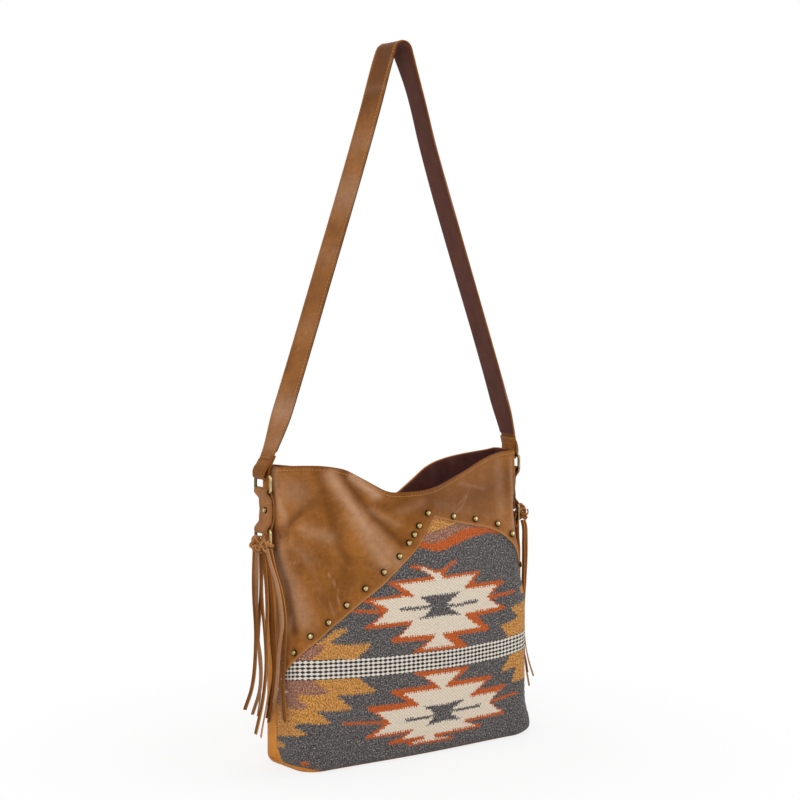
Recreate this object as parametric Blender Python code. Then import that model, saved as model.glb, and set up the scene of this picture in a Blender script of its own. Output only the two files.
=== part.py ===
# A soft leather and wool shoulder bag.
# A woven kilim front is lapped under a tan leather yoke with a row of domed rivets. The back and
# base are leather, the lining is cloth. A leather tab on each side holds a brass ring above, which
# carries the strap, and a brass ring below, which carries a tassel of five folded laces.
# Units are metres, +Z is up, the floor is z = 0, the front faces -Y and the tabs are at -X and +X.

import math

import bmesh
import bpy
from mathutils import Vector
from mathutils.bvhtree import BVHTree

# Body of the bag
RIM_HEIGHT = 0.334
BODY_WIDTH = 0.323
MOUTH_WIDTH = 0.333
BODY_LEAN_X = 0.0035
BODY_FRONT_DEPTH = 0.056
BODY_BACK_DEPTH = 0.039
BODY_FRONT_BULGE = 0.004
BODY_BACK_BULGE = 0.002
BODY_CORNER_RADIUS = 0.028
BASE_ROUNDING = 0.010
STRAP_PLANE_Y = 0.010
GUSSET_HALF_WIDTH = 0.017
MOUTH_FRONT_BULGE = 0.025
MOUTH_BACK_BULGE = 0.003
MOUTH_CORNER_RADIUS = 0.006

RIGHT_SEAM_DROP = 0.0024

# The rim dips in the middle: x of a place on it, and how far it lies below the rim's height there
FRONT_RIM_DROPS = [
    (-0.160, 0.0), (-0.135, 0.0010), (-0.115, 0.0022), (-0.099, 0.0044), (-0.086, 0.0080),
    (-0.070, 0.0162), (-0.050, 0.0275), (-0.040, 0.0328), (-0.030, 0.0358), (-0.012, 0.0367),
    (0.006, 0.0365), (0.022, 0.0352), (0.038, 0.0323), (0.060, 0.0262), (0.090, 0.0175),
    (0.110, 0.0108), (0.127, 0.0066), (0.143, 0.0036), (0.160, RIGHT_SEAM_DROP),
]
BACK_RIM_DROPS = [
    (-0.160, 0.0), (-0.135, 0.0035), (-0.110, 0.0075), (-0.085, 0.0150), (-0.060, 0.0275),
    (-0.035, 0.0410), (-0.015, 0.0475), (0.004, 0.0490), (0.018, 0.0465), (0.030, 0.0395),
    (0.045, 0.0295), (0.058, 0.0205), (0.070, 0.0150), (0.085, 0.0108), (0.106, 0.0075),
    (0.130, 0.0053), (0.150, 0.0038), (0.160, RIGHT_SEAM_DROP),
]

# Shares of the height at which the boxy body starts to turn into the flat mouth
DEPTH_TAPER_START = 0.42
WIDTH_TAPER_START = 0.60
WIDTH_TAPER_END = 0.76

# Leather, wool and cloth
WOOL_THICKNESS = 0.0018
YOKE_THICKNESS = 0.0015
BACK_THICKNESS = 0.0018
BASE_THICKNESS = 0.0018
LINING_THICKNESS = 0.0009
LINING_SLACK = 0.0011
LINING_EASE = 0.016
LINING_BELOW_RIM = 0.0010
PIECE_GAP = 0.0003
LAP_GAP = 0.0006
YOKE_LAP = 0.008
YOKE_SETTLE = 0.012
BASE_SEAM_FRONT = 0.006
BASE_SEAM_SIDE = 0.013

# Rivets
RIVET_RADIUS = 0.0039
RIVET_HEIGHT = 0.0027

# Rings, tabs and strap
RING_WIRE_RADIUS = 0.00175
RING_HALF_WIDTH = 0.0146
RING_HEIGHT = 0.017
RING_CORNER_RADIUS = 0.0026
RING_PIVOT_OUT = 0.0082
UPPER_PIVOT_Z = 0.3064
LOWER_PIVOT_Z = 0.2644
TAB_HALF_WIDTH = 0.0122
TAB_LEATHER = 0.0022
TAB_EASE = 0.013
BAR_CLEARANCE = 0.0005
STRAP_HALF_WIDTH = 0.0185
STRAP_END_HALF_WIDTH = 0.0122
STRAP_LEATHER = 0.0020
STRAP_BACKING = 0.0012
STRAP_TAPER_LOW = 0.334
STRAP_TAPER_HIGH = 0.392
STRAP_RETURN_TOP = 0.3505
APEX_X = 0.0025
APEX_Z = 0.7975
APEX_RADIUS = 0.0122
APEX_HALF_ANGLE = math.radians(18.7)

# Laces of the tassels
LACE_HALF_WIDTH = 0.0020
LACE_THICKNESS = 0.0013
LACE_PITCH = 0.0049
LACE_BAR_CLEARANCE = 0.0004
LACE_WAVE = 0.0012
KNOT_DROP = 0.0085
KNOT_STAGGER = 0.0015
KNOT_SIZE = (0.0054, 0.0045, 0.0050)
KNOT_BEVEL = 0.0011

# Meshing
CORNER_STEPS = 5
FRONT_STEPS_LEFT = 12
FRONT_STEPS_RIGHT = 8
BACK_STEPS = 12
SIDE_STEPS = 2
WOOL_ROWS = 10
YOKE_ROWS = 7
LOW_ROWS = 3
TAPER_ROWS = 8
LACE_STEPS = 7
STRAP_STEPS = 38

BASE_FLAT_RING = 0.012
FILLET_LENGTH = BASE_ROUNDING * math.pi / 2
SEAM_LEFT = 0.0
SEAM_RIGHT = 5.0
ROUND = 10.0

# Where the yoke's lower edge runs on the front: way round the bag, height. It climbs from the left
# seam to a point and falls away in an arch to the right seam.
YOKE_POINT_WAY = 2.57
YOKE_POINT_Z = 0.266
YOKE_EDGE_LEFT = [
    (0.0, 0.090), (0.5, 0.105), (1.0, 0.116), (1.45, 0.136), (2.0, 0.156), (2.22, 0.187),
    (2.43, 0.216), (2.50, 0.236), (YOKE_POINT_WAY, YOKE_POINT_Z),
]
YOKE_EDGE_RIGHT = [
    (YOKE_POINT_WAY, YOKE_POINT_Z), (2.72, 0.255), (2.84, 0.2475), (2.94, 0.238), (3.0, 0.226),
    (3.2, 0.205), (4.0, 0.178), (5.0, 0.165),
]

# Rivets along the yoke's edge, set by hand and not evenly: way round the bag, distance from the edge
RIVETS = [
    (0.62, 0.0090), (1.17, 0.0066), (1.586, 0.0097), (2.01, 0.0079), (2.11, 0.0097), (2.21, 0.0096),
    (2.32, 0.0105), (2.41, 0.0122), (2.461, 0.0125), (2.485, 0.0124), (2.507, 0.0127),
    (2.546, 0.0096), (2.672, 0.0055), (2.79, 0.0066), (2.91, 0.0066), (2.987, 0.0056), (3.6, 0.0066),
]

# Where the laces of each tassel end, from the front one to the back one. Each lace has a tail
# outside and a tail inside its ring: distance out from the bag's side, along the ring's bar, height.
LEFT_TAILS = [
    ((0.0082, -0.029, 0.057), (0.0055, -0.020, 0.074)),
    ((0.0184, -0.009, 0.057), (0.0122, -0.010, 0.064)),
    ((0.0193, 0.004, 0.035), (0.0105, 0.001, 0.052)),
    ((0.0232, 0.016, 0.062), (0.0204, 0.014, 0.033)),
    ((0.0270, 0.026, 0.062), (0.0130, 0.021, 0.056)),
]
RIGHT_TAILS = [
    ((0.0195, -0.028, 0.060), (0.0167, -0.023, 0.066)),
    ((0.0190, -0.019, 0.048), (0.0122, -0.013, 0.055)),
    ((0.0150, -0.006, 0.040), (0.0052, -0.003, 0.046)),
    ((0.0130, 0.006, 0.052), (0.0042, 0.007, 0.062)),
    ((0.0112, 0.020, 0.058), (0.0040, 0.017, 0.056)),
]

# The strap's slight bow: share of the way up from its bar to the bend at the top, and share of
# the way in from the bar to that bend.
LEFT_STRAP_SHAPE = [
    (0.0, 0.0), (0.0185, 0.0157), (0.041, 0.047), (0.066, 0.080), (0.173, 0.195), (0.310, 0.334),
    (0.452, 0.475), (0.594, 0.617), (0.735, 0.755), (0.856, 0.869),
]
RIGHT_STRAP_SHAPE = [
    (0.0, 0.0), (0.0185, 0.0137), (0.041, 0.0375), (0.066, 0.056), (0.149, 0.134), (0.293, 0.280),
    (0.443, 0.438), (0.590, 0.592), (0.738, 0.743), (0.862, 0.865),
]

# Soft folds of the front: x and z of both ends, half width, height
FRONT_FOLDS = [
    (-0.165, 0.258, -0.128, 0.287, 0.008, -0.0024),
    (-0.100, 0.330, -0.070, 0.215, 0.017, 0.0030),
    (-0.135, 0.315, -0.125, 0.190, 0.013, -0.0025),
    (0.010, 0.292, 0.012, 0.270, 0.030, 0.0030),
    (0.160, 0.012, 0.160, 0.013, 0.018, 0.0060),
]

# Soft folds of the back
BACK_FOLDS = [
    (-0.110, 0.300, -0.060, 0.150, 0.022, -0.0030),
    (0.100, 0.290, 0.070, 0.140, 0.024, -0.0028),
]


def clear_scene():
    for item in list(bpy.data.objects):
        bpy.data.objects.remove(item)


def make_material(name, colour, roughness, metallic=0.0):
    material = bpy.data.materials.new(name)
    material.use_nodes = True
    shader = material.node_tree.nodes["Principled BSDF"]
    shader.inputs["Base Color"].default_value = (*colour, 1.0)
    shader.inputs["Roughness"].default_value = roughness
    shader.inputs["Metallic"].default_value = metallic
    return material


def add_object(name, data, material, origin=(0.0, 0.0, 0.0)):
    if data.materials:
        data.materials[0] = material
    else:
        data.materials.append(material)
    item = bpy.data.objects.new(name, data)
    item.location = origin
    bpy.context.collection.objects.link(item)
    return item


def smooth(t):
    t = min(max(t, 0.0), 1.0)
    return t * t * (3.0 - 2.0 * t)


def mix(a, b, t):
    return a + (b - a) * t


def read_curve(points, at):
    # A smooth curve through (place, value) pairs, without overshoot.
    if at <= points[0][0]:
        return points[0][1]
    for k in range(len(points) - 1):
        x0, y0 = points[k]
        x1, y1 = points[k + 1]
        if at <= x1:
            slopes = []
            for j in (k, k + 1):
                before = points[max(j - 1, 0)]
                after = points[min(j + 1, len(points) - 1)]
                slopes.append((after[1] - before[1]) / (after[0] - before[0]))
            width = x1 - x0
            t = (at - x0) / width
            return (
                y0 * (1 + 2 * t) * (1 - t) ** 2
                + y1 * t * t * (3 - 2 * t)
                + slopes[0] * width * t * (1 - t) ** 2
                - slopes[1] * width * t * t * (1 - t)
            )
    return points[-1][1]


# The wall of the bag. A place on it is its way round, from 0 at the left seam through the front
# to 5 at the right seam and through the back to 10, and its distance up from the flat bottom.

def outline(q):
    # The horizontal section at a share q of the column's height.
    depth = smooth((q - DEPTH_TAPER_START) / (1.0 - DEPTH_TAPER_START))
    width = smooth((q - WIDTH_TAPER_START) / (WIDTH_TAPER_END - WIDTH_TAPER_START))
    half = mix(BODY_WIDTH, MOUTH_WIDTH, width) / 2
    lean = mix(BODY_LEAN_X, 0.0, width)
    return {
        "left": lean - half,
        "right": lean + half,
        "front": STRAP_PLANE_Y - mix(BODY_FRONT_DEPTH, GUSSET_HALF_WIDTH, depth),
        "back": STRAP_PLANE_Y + mix(BODY_BACK_DEPTH, GUSSET_HALF_WIDTH, depth),
        "radius": mix(BODY_CORNER_RADIUS, MOUTH_CORNER_RADIUS, depth),
        "front_bulge": mix(BODY_FRONT_BULGE, MOUTH_FRONT_BULGE, depth),
        "back_bulge": mix(BODY_BACK_BULGE, MOUTH_BACK_BULGE, depth),
    }


def round_corner(x, y, radius, start, t):
    angle = math.radians(start + 90.0 * t)
    return x + radius * math.cos(angle), y + radius * math.sin(angle)


def place(way, q):
    o = outline(q)
    way = way % ROUND
    part = int(way)
    t = way - part
    r = o["radius"]
    left, right, front, back = o["left"], o["right"], o["front"], o["back"]
    if part == 0:
        return left, mix(STRAP_PLANE_Y, front + r, t)
    if part == 1:
        return round_corner(left + r, front + r, r, 180.0, t)
    if part == 2:
        k = 2.0 * t - 1.0
        return mix(left + r, right - r, t), front - o["front_bulge"] * (1.0 - k * k) ** 2
    if part == 3:
        return round_corner(right - r, front + r, r, 270.0, t)
    if part == 4:
        return right, mix(front + r, STRAP_PLANE_Y, t)
    if part == 5:
        return right, mix(STRAP_PLANE_Y, back - r, t)
    if part == 6:
        return round_corner(right - r, back - r, r, 0.0, t)
    if part == 7:
        k = 2.0 * t - 1.0
        return mix(right - r, left + r, t), back + o["back_bulge"] * (1.0 - k * k) ** 2
    if part == 8:
        return round_corner(left + r, back - r, r, 90.0, t)
    return left, mix(back - r, STRAP_PLANE_Y, t)


def flat_outward(way, q, step=0.02):
    x0, y0 = place(way - step, q)
    x1, y1 = place(way + step, q)
    length = math.hypot(x1 - x0, y1 - y0)
    return (y1 - y0) / length, (x0 - x1) / length


def rim_height(way):
    way = way % ROUND
    drops = FRONT_RIM_DROPS if way <= SEAM_RIGHT else BACK_RIM_DROPS
    return RIM_HEIGHT - read_curve(drops, place(way, 1.0)[0])


def fold_push(way, x, z, eased):
    # Folds fade out at the side seams, so that front and back meet there. The lining is eased: it
    # follows only the dents, and more widely.
    way = way % ROUND
    if way <= SEAM_RIGHT:
        folds, fade = FRONT_FOLDS, smooth(min(way, SEAM_RIGHT - way))
    else:
        folds, fade = BACK_FOLDS, smooth(min(way - SEAM_RIGHT, ROUND - way))
    push = 0.0
    for x0, z0, x1, z1, width, height in folds:
        run = (x1 - x0) ** 2 + (z1 - z0) ** 2
        t = min(max(((x - x0) * (x1 - x0) + (z - z0) * (z1 - z0)) / run, 0.0), 1.0)
        off = math.hypot(x - mix(x0, x1, t), z - mix(z0, z1, t))
        if not eased:
            push += height * math.exp(-((off / width) ** 2))
        elif height < 0.0:
            push += height * math.exp(-((max(off - LINING_EASE, 0.0) / width) ** 2))
    return push * fade


def wall(way, up, eased=False):
    # Below 0 the surface runs inwards under the flat bottom.
    if up < 0.0:
        z, inset = 0.0, BASE_ROUNDING - up
    elif up < FILLET_LENGTH:
        angle = up / BASE_ROUNDING
        z, inset = BASE_ROUNDING * (1.0 - math.cos(angle)), BASE_ROUNDING * (1.0 - math.sin(angle))
    else:
        z, inset = BASE_ROUNDING + up - FILLET_LENGTH, 0.0
    q = z / rim_height(way)
    x, y = place(way, q)
    nx, ny = flat_outward(way, q)
    folds = fold_push(way, x, z, eased) if up > 0.0 else 0.0
    push = folds * smooth(up / FILLET_LENGTH) - inset
    return Vector((x + nx * push, y + ny * push, z))


def wall_normal(way, up, eased=False, step=0.02, rise=0.002):
    across = wall(way + step, up, eased) - wall(way - step, up, eased)
    along = wall(way, up + rise, eased) - wall(way, up - rise, eased)
    return across.cross(along).normalized()


def on_wall(way, up, offset, eased=False):
    return wall(way, up, eased) + wall_normal(way, up, eased) * offset


def up_at(z):
    return z - BASE_ROUNDING + FILLET_LENGTH


def up_rim(way):
    return up_at(rim_height(way))


def up_base_seam(way):
    # The base turns up further at the sides than along the front and back.
    x = place(way, 0.0)[0]
    side = smooth((abs(x - BODY_LEAN_X) - BODY_WIDTH / 2 + BODY_CORNER_RADIUS) / BODY_CORNER_RADIUS)
    return mix(BASE_SEAM_FRONT, BASE_SEAM_SIDE, side)


def up_yoke_edge(way):
    return up_at(read_curve(YOKE_EDGE_LEFT if way <= YOKE_POINT_WAY else YOKE_EDGE_RIGHT, way))


def ways(stretches):
    # Places round the bag, from a list of (place where the stretch ends, its steps).
    found = [stretches[0][0]]
    for (start, _), (end, count) in zip(stretches, stretches[1:]):
        found += [mix(start, end, (k + 1) / count) for k in range(count)]
    return found


FRONT_WAYS = ways([
    (SEAM_LEFT, 0), (1.0, SIDE_STEPS), (2.0, CORNER_STEPS), (YOKE_POINT_WAY, FRONT_STEPS_LEFT),
    (3.0, FRONT_STEPS_RIGHT), (4.0, CORNER_STEPS), (SEAM_RIGHT, SIDE_STEPS),
])
BACK_WAYS = ways([
    (SEAM_RIGHT, 0), (6.0, SIDE_STEPS), (7.0, CORNER_STEPS), (8.0, BACK_STEPS),
    (9.0, CORNER_STEPS), (ROUND, SIDE_STEPS),
])


def panel_mesh(name, columns):
    # Each column is a list of (outer point, inner point) pairs from bottom to top. The panel has
    # four free edges.
    mesh = bpy.data.meshes.new(name)
    bm = bmesh.new()
    outer = [[bm.verts.new(pair[0]) for pair in column] for column in columns]
    inner = [[bm.verts.new(pair[1]) for pair in column] for column in columns]
    last = len(columns[0]) - 1
    for i in range(len(columns) - 1):
        for j in range(last):
            bm.faces.new((outer[i][j], outer[i + 1][j], outer[i + 1][j + 1], outer[i][j + 1]))
            bm.faces.new((inner[i][j], inner[i][j + 1], inner[i + 1][j + 1], inner[i + 1][j]))
        for j in (0, last):
            bm.faces.new((outer[i][j], inner[i][j], inner[i + 1][j], outer[i + 1][j]))
    for i in (0, len(columns) - 1):
        for j in range(last):
            bm.faces.new((outer[i][j], outer[i][j + 1], inner[i][j + 1], inner[i][j]))
    bmesh.ops.recalc_face_normals(bm, faces=bm.faces)
    bm.to_mesh(mesh)
    bm.free()
    mesh.shade_smooth()
    mesh.set_sharp_from_angle(angle=math.radians(50))
    return mesh


def vessel_mesh(name, outer_rings, inner_rings):
    # A closed tray or bag: rings run from the bottom up, and each bottom ring is filled flat.
    mesh = bpy.data.meshes.new(name)
    bm = bmesh.new()
    shells = []
    for rings in (outer_rings, inner_rings):
        made = [[bm.verts.new(point) for point in ring] for ring in rings]
        count = len(made[0])
        for low, high in zip(made, made[1:]):
            for i in range(count):
                k = (i + 1) % count
                bm.faces.new((low[i], low[k], high[k], high[i]))
        bm.faces.new(made[0])
        shells.append(made)
    top_out, top_in = shells[0][-1], shells[1][-1]
    for i in range(len(top_out)):
        k = (i + 1) % len(top_out)
        bm.faces.new((top_out[i], top_out[k], top_in[k], top_in[i]))
    bmesh.ops.recalc_face_normals(bm, faces=bm.faces)
    bm.to_mesh(mesh)
    bm.free()
    mesh.shade_smooth()
    mesh.set_sharp_from_angle(angle=math.radians(50))
    return mesh


def seam_shift(way, up, first, last):
    # Half the gap between two panels that meet at a side seam.
    if way not in (first, last):
        return Vector((0.0, 0.0, 0.0))
    towards = 0.02 if way == first else -0.02
    along = wall(way + towards, up) - wall(way, up)
    return along.normalized() * (PIECE_GAP / 2)


def panel_columns(way_list, rows_of, outer_of, thickness):
    columns = []
    for way in way_list:
        column = []
        for up in rows_of(way):
            shift = seam_shift(way, up, way_list[0], way_list[-1])
            outer = outer_of(way, up)
            column.append((on_wall(way, up, outer) + shift, on_wall(way, up, outer - thickness) + shift))
        columns.append(column)
    return columns


def even_rows(low, high, count):
    return [mix(low, high, k / count) for k in range(count + 1)]


def body_rows(low, way, top):
    # Few rows up the straight part of the wall and more where it tapers to the mouth.
    turn = up_at(DEPTH_TAPER_START * rim_height(way))
    return even_rows(low, turn, LOW_ROWS) + even_rows(turn, top, TAPER_ROWS)[1:]


def wool_rows(way):
    low = up_base_seam(way) + PIECE_GAP / 2
    turn = FILLET_LENGTH + 0.004
    return [low, mix(low, turn, 0.5)] + even_rows(turn, up_yoke_edge(way) + YOKE_LAP, WOOL_ROWS)


def yoke_rows(way):
    edge = up_yoke_edge(way)
    first = edge + YOKE_LAP + 0.002
    return [edge, edge + YOKE_LAP / 2] + even_rows(first, first + YOKE_SETTLE, 2) + \
        even_rows(first + YOKE_SETTLE, up_rim(way), YOKE_ROWS)[1:]


def yoke_outer(way, up):
    # Proud of the wool along the lap, and level with the back panel above it.
    proud = LAP_GAP + YOKE_THICKNESS
    beyond = up - up_yoke_edge(way) - YOKE_LAP - 0.002
    return mix(proud, 0.0, smooth(beyond / YOKE_SETTLE))


def back_rows(way):
    low = up_base_seam(way) + PIECE_GAP / 2
    turn = FILLET_LENGTH + 0.004
    return [low, mix(low, turn, 0.5)] + body_rows(turn, way, up_rim(way))


def build_panels(wool, leather, golden):
    columns = panel_columns(FRONT_WAYS, wool_rows, lambda way, up: 0.0, WOOL_THICKNESS)
    add_object("front_wool", panel_mesh("front_wool", columns), wool)
    columns = panel_columns(FRONT_WAYS, yoke_rows, yoke_outer, YOKE_THICKNESS)
    add_object("front_yoke", panel_mesh("front_yoke", columns), leather)
    columns = panel_columns(BACK_WAYS, back_rows, lambda way, up: 0.0, BACK_THICKNESS)
    add_object("back_panel", panel_mesh("back_panel", columns), golden)


def build_base(golden):
    all_ways = FRONT_WAYS[:-1] + BACK_WAYS[:-1]
    flat = -BASE_FLAT_RING
    outer, inner = [], []
    for share in (None, 0.0, 0.5, 1.0):
        ring_out, ring_in = [], []
        for way in all_ways:
            up = flat if share is None else (up_base_seam(way) - PIECE_GAP / 2) * share
            ring_out.append(on_wall(way, up, 0.0))
            ring_in.append(on_wall(way, up, -BASE_THICKNESS))
        outer.append(ring_out)
        inner.append(ring_in)
    add_object("base_panel", vessel_mesh("base_panel", outer, inner), golden)


def build_lining(cloth):
    all_ways = FRONT_WAYS[:-1] + BACK_WAYS[:-1]
    depth = max(WOOL_THICKNESS, BACK_THICKNESS, BASE_THICKNESS) + LINING_SLACK
    turn = FILLET_LENGTH + 0.004
    columns = [
        [-BASE_FLAT_RING, 0.0, FILLET_LENGTH * 0.5] + body_rows(turn, way, up_rim(way) - LINING_BELOW_RIM)
        for way in all_ways
    ]
    outer, inner = [], []
    for rows in zip(*columns):
        outer.append([on_wall(way, up, -depth, True) for way, up in zip(all_ways, rows)])
        inner.append([on_wall(way, up, -depth - LINING_THICKNESS, True) for way, up in zip(all_ways, rows)])
    add_object("lining", vessel_mesh("lining", outer, inner), cloth)


def rivet_mesh():
    # A low dome with a flat underside, centred on its own origin.
    mesh = bpy.data.meshes.new("rivet")
    bm = bmesh.new()
    sides = 8
    rings = []
    for share, rise in ((1.0, 0.0), (0.98, 0.25), (0.66, 0.80)):
        ring = []
        for k in range(sides):
            angle = 2 * math.pi * k / sides
            radius = RIVET_RADIUS * share
            ring.append(bm.verts.new((radius * math.cos(angle), radius * math.sin(angle), RIVET_HEIGHT * rise)))
        rings.append(ring)
    top = bm.verts.new((0.0, 0.0, RIVET_HEIGHT))
    for low, high in zip(rings, rings[1:]):
        for k in range(sides):
            j = (k + 1) % sides
            bm.faces.new((low[k], low[j], high[j], high[k]))
    for k in range(sides):
        bm.faces.new((rings[-1][k], rings[-1][(k + 1) % sides], top))
    bm.faces.new(rings[0])
    bmesh.ops.recalc_face_normals(bm, faces=bm.faces)
    bm.to_mesh(mesh)
    bm.free()
    mesh.shade_smooth()
    mesh.set_sharp_from_angle(angle=math.radians(60))
    return mesh


def seat_rivet(name, mesh, brass, point, normal):
    item = add_object(name, mesh, brass, point)
    item.rotation_mode = "QUATERNION"
    item.rotation_quaternion = normal.to_track_quat("Z", "Y")
    return item


def yoke_edge_slope(way, step=0.01):
    low = wall(way - step, up_yoke_edge(way - step))
    high = wall(way + step, up_yoke_edge(way + step))
    return (high.z - low.z) / math.hypot(high.x - low.x, high.y - low.y)


def facet_height(tree, point, normal):
    # The highest that a panel's flat facets stand above a point, anywhere under a rivet there.
    turn = normal.to_track_quat("Z", "Y")
    reach = [Vector((0.0, 0.0, 0.0))]
    reach += [RIVET_RADIUS * Vector((math.cos(math.pi * k / 4), math.sin(math.pi * k / 4), 0.0)) for k in range(8)]
    highest = 0.0
    for offset in reach:
        hit = tree.ray_cast(point + turn @ offset + normal * 0.01, -normal)[0]
        if hit:
            highest = max(highest, (hit - point).dot(normal))
    return highest


def build_rivets(brass):
    mesh = rivet_mesh()
    panel = bpy.data.objects["front_yoke"].data
    tree = BVHTree.FromPolygons([v.co for v in panel.vertices], [p.vertices for p in panel.polygons])
    for k, (way, distance) in enumerate(RIVETS):
        up = up_yoke_edge(way) + distance * math.sqrt(1.0 + yoke_edge_slope(way) ** 2)
        normal = wall_normal(way, up)
        point = on_wall(way, up, yoke_outer(way, up))
        point += normal * (facet_height(tree, point, normal) + PIECE_GAP)
        seat_rivet(f"yoke_rivet_{k + 1:02d}", mesh, brass, point, normal)
    for side, name in ((-1, "left"), (1, "right")):
        out = MOUTH_WIDTH / 2 + PIECE_GAP * 3 + 2 * TAB_LEATHER
        point = Vector((side * out, STRAP_PLANE_Y, (UPPER_PIVOT_Z + LOWER_PIVOT_Z) / 2))
        seat_rivet(f"{name}_tab_rivet", mesh, brass, point, Vector((side, 0.0, 0.0)))


def ring_pivot(side, z):
    return Vector((side * (MOUTH_WIDTH / 2 + RING_PIVOT_OUT), STRAP_PLANE_Y, z))


def build_ring(name, brass, pivot, other_bar):
    # A rectangular wire ring. Its origin is on the bar that it turns about, and its other bar is
    # at the height other_bar from there.
    steps = 3
    points = []
    centre_z = other_bar / 2
    straight_y = RING_HALF_WIDTH - RING_CORNER_RADIUS
    straight_z = RING_HEIGHT / 2 - RING_CORNER_RADIUS
    for corner, (sy, sz) in enumerate(((1, 1), (-1, 1), (-1, -1), (1, -1))):
        for k in range(steps + 1):
            angle = math.radians(90.0 * (corner + k / steps))
            points.append((
                0.0,
                sy * straight_y + RING_CORNER_RADIUS * math.cos(angle),
                centre_z + sz * straight_z + RING_CORNER_RADIUS * math.sin(angle),
            ))
    curve = bpy.data.curves.new(name, "CURVE")
    curve.dimensions = "3D"
    spline = curve.splines.new("POLY")
    spline.points.add(len(points) - 1)
    for item, point in zip(spline.points, points):
        item.co = (*point, 1.0)
    spline.use_cyclic_u = True
    spline.use_smooth = True
    curve.bevel_depth = RING_WIRE_RADIUS
    curve.bevel_resolution = 1
    return add_object(name, curve, brass, pivot)


def band_mesh(name, path, thickness, half_widths, closed=False):
    # A flat band: the path is a list of (x, z) of its middle line, and its width runs along Y.
    mesh = bpy.data.meshes.new(name)
    bm = bmesh.new()
    count = len(path)
    sections = []
    for k, (x, z) in enumerate(path):
        if closed:
            before, after = path[k - 1], path[(k + 1) % count]
        else:
            before, after = path[max(k - 1, 0)], path[min(k + 1, count - 1)]
        run = math.hypot(after[0] - before[0], after[1] - before[1])
        nx, nz = -(after[1] - before[1]) / run, (after[0] - before[0]) / run
        half, wide = thickness / 2, half_widths[k]
        sections.append([
            bm.verts.new((x + nx * half, -wide, z + nz * half)),
            bm.verts.new((x + nx * half, wide, z + nz * half)),
            bm.verts.new((x - nx * half, wide, z - nz * half)),
            bm.verts.new((x - nx * half, -wide, z - nz * half)),
        ])
    pairs = list(zip(sections, sections[1:]))
    if closed:
        pairs.append((sections[-1], sections[0]))
    else:
        bm.faces.new(sections[0])
        bm.faces.new(sections[-1])
    for low, high in pairs:
        for j in range(4):
            i = (j + 1) % 4
            bm.faces.new((low[j], low[i], high[i], high[j]))
    bmesh.ops.recalc_face_normals(bm, faces=bm.faces)
    bm.to_mesh(mesh)
    bm.free()
    mesh.shade_smooth()
    mesh.set_sharp_from_angle(angle=math.radians(50))
    return mesh


def build_tab(name, leather, side):
    # One strip of leather, closed round both bars: two layers lie flat on the gusset, and each end
    # is a loop round a ring's bar. Distances are outwards from the gusset.
    loop = RING_WIRE_RADIUS + BAR_CLEARANCE + TAB_LEATHER / 2
    inner = PIECE_GAP + TAB_LEATHER / 2
    outer = inner + TAB_LEATHER + PIECE_GAP
    path = []
    for pivot_z, way in ((UPPER_PIVOT_Z, 1), (LOWER_PIVOT_Z, -1)):
        rise, arc = [], []
        for k in range(6):
            t = k / 6
            at = pivot_z - way * TAB_EASE * (1.0 - t)
            rise.append((mix(inner, RING_PIVOT_OUT - loop, smooth(t)), mix(outer, RING_PIVOT_OUT + loop, smooth(t)), at))
        for k in range(9):
            angle = math.pi * k / 8
            arc.append((RING_PIVOT_OUT - loop * math.cos(angle), pivot_z + way * loop * math.sin(angle)))
        if way == 1:
            path += [(a, at) for a, b, at in rise] + arc + [(b, at) for a, b, at in reversed(rise)]
        else:
            path += [(b, at) for a, b, at in rise] + arc[::-1] + [(a, at) for a, b, at in reversed(rise)]
    placed = [(side * (MOUTH_WIDTH / 2 + x), z) for x, z in path]
    mesh = band_mesh(name, placed, TAB_LEATHER, [TAB_HALF_WIDTH] * len(placed), closed=True)
    return add_object(name, mesh, leather, (0.0, STRAP_PLANE_Y, 0.0))


def smooth_route(points, spacing):
    # Points at about even spacing on a smooth curve through the route's own points.
    found = []
    for k in range(len(points) - 1):
        p1, p2 = Vector(points[k]), Vector(points[k + 1])
        p0 = Vector(points[k - 1]) if k else p1 * 2 - p2
        p3 = Vector(points[k + 2]) if k + 2 < len(points) else p2 * 2 - p1
        steps = max(1, round((p2 - p1).length / spacing))
        d01, d12, d23 = (max((b - a).length, 1e-6) for a, b in ((p0, p1), (p1, p2), (p2, p3)))
        m1 = ((p2 - p1) / d12 + (p1 - p0) / d01) / 2 * d12
        m2 = ((p3 - p2) / d23 + (p2 - p1) / d12) / 2 * d12
        for j in range(steps):
            t = j / steps
            found.append(
                p1 * ((1 + 2 * t) * (1 - t) ** 2) + p2 * (t * t * (3 - 2 * t))
                + m1 * (t * (1 - t) ** 2) - m2 * (t * t * (1 - t))
            )
    return found + [Vector(points[-1])]


def strap_routes():
    # The outer leather's middle line, from the left bar over the bend at the top to the right bar.
    bar_z = UPPER_PIVOT_Z + RING_HEIGHT
    bar_x = MOUTH_WIDTH / 2 + RING_PIVOT_OUT
    loop = RING_WIRE_RADIUS + BAR_CLEARANCE + STRAP_LEATHER / 2
    arc = []
    for k in range(7):
        angle = math.pi - APEX_HALF_ANGLE - (math.pi - 2 * APEX_HALF_ANGLE) * k / 6
        arc.append((
            APEX_X + APEX_RADIUS * math.cos(angle),
            APEX_Z - APEX_RADIUS + APEX_RADIUS * math.sin(angle),
        ))
    limbs = []
    for side, shape, (end_x, end_z) in ((-1, LEFT_STRAP_SHAPE, arc[0]), (1, RIGHT_STRAP_SHAPE, arc[-1])):
        limbs.append([(mix(side * (bar_x + loop), end_x, share_in), mix(bar_z, end_z, share_up))
                      for share_up, share_in in shape])
    return limbs[0] + arc + limbs[1][::-1], loop, bar_x, bar_z


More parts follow.
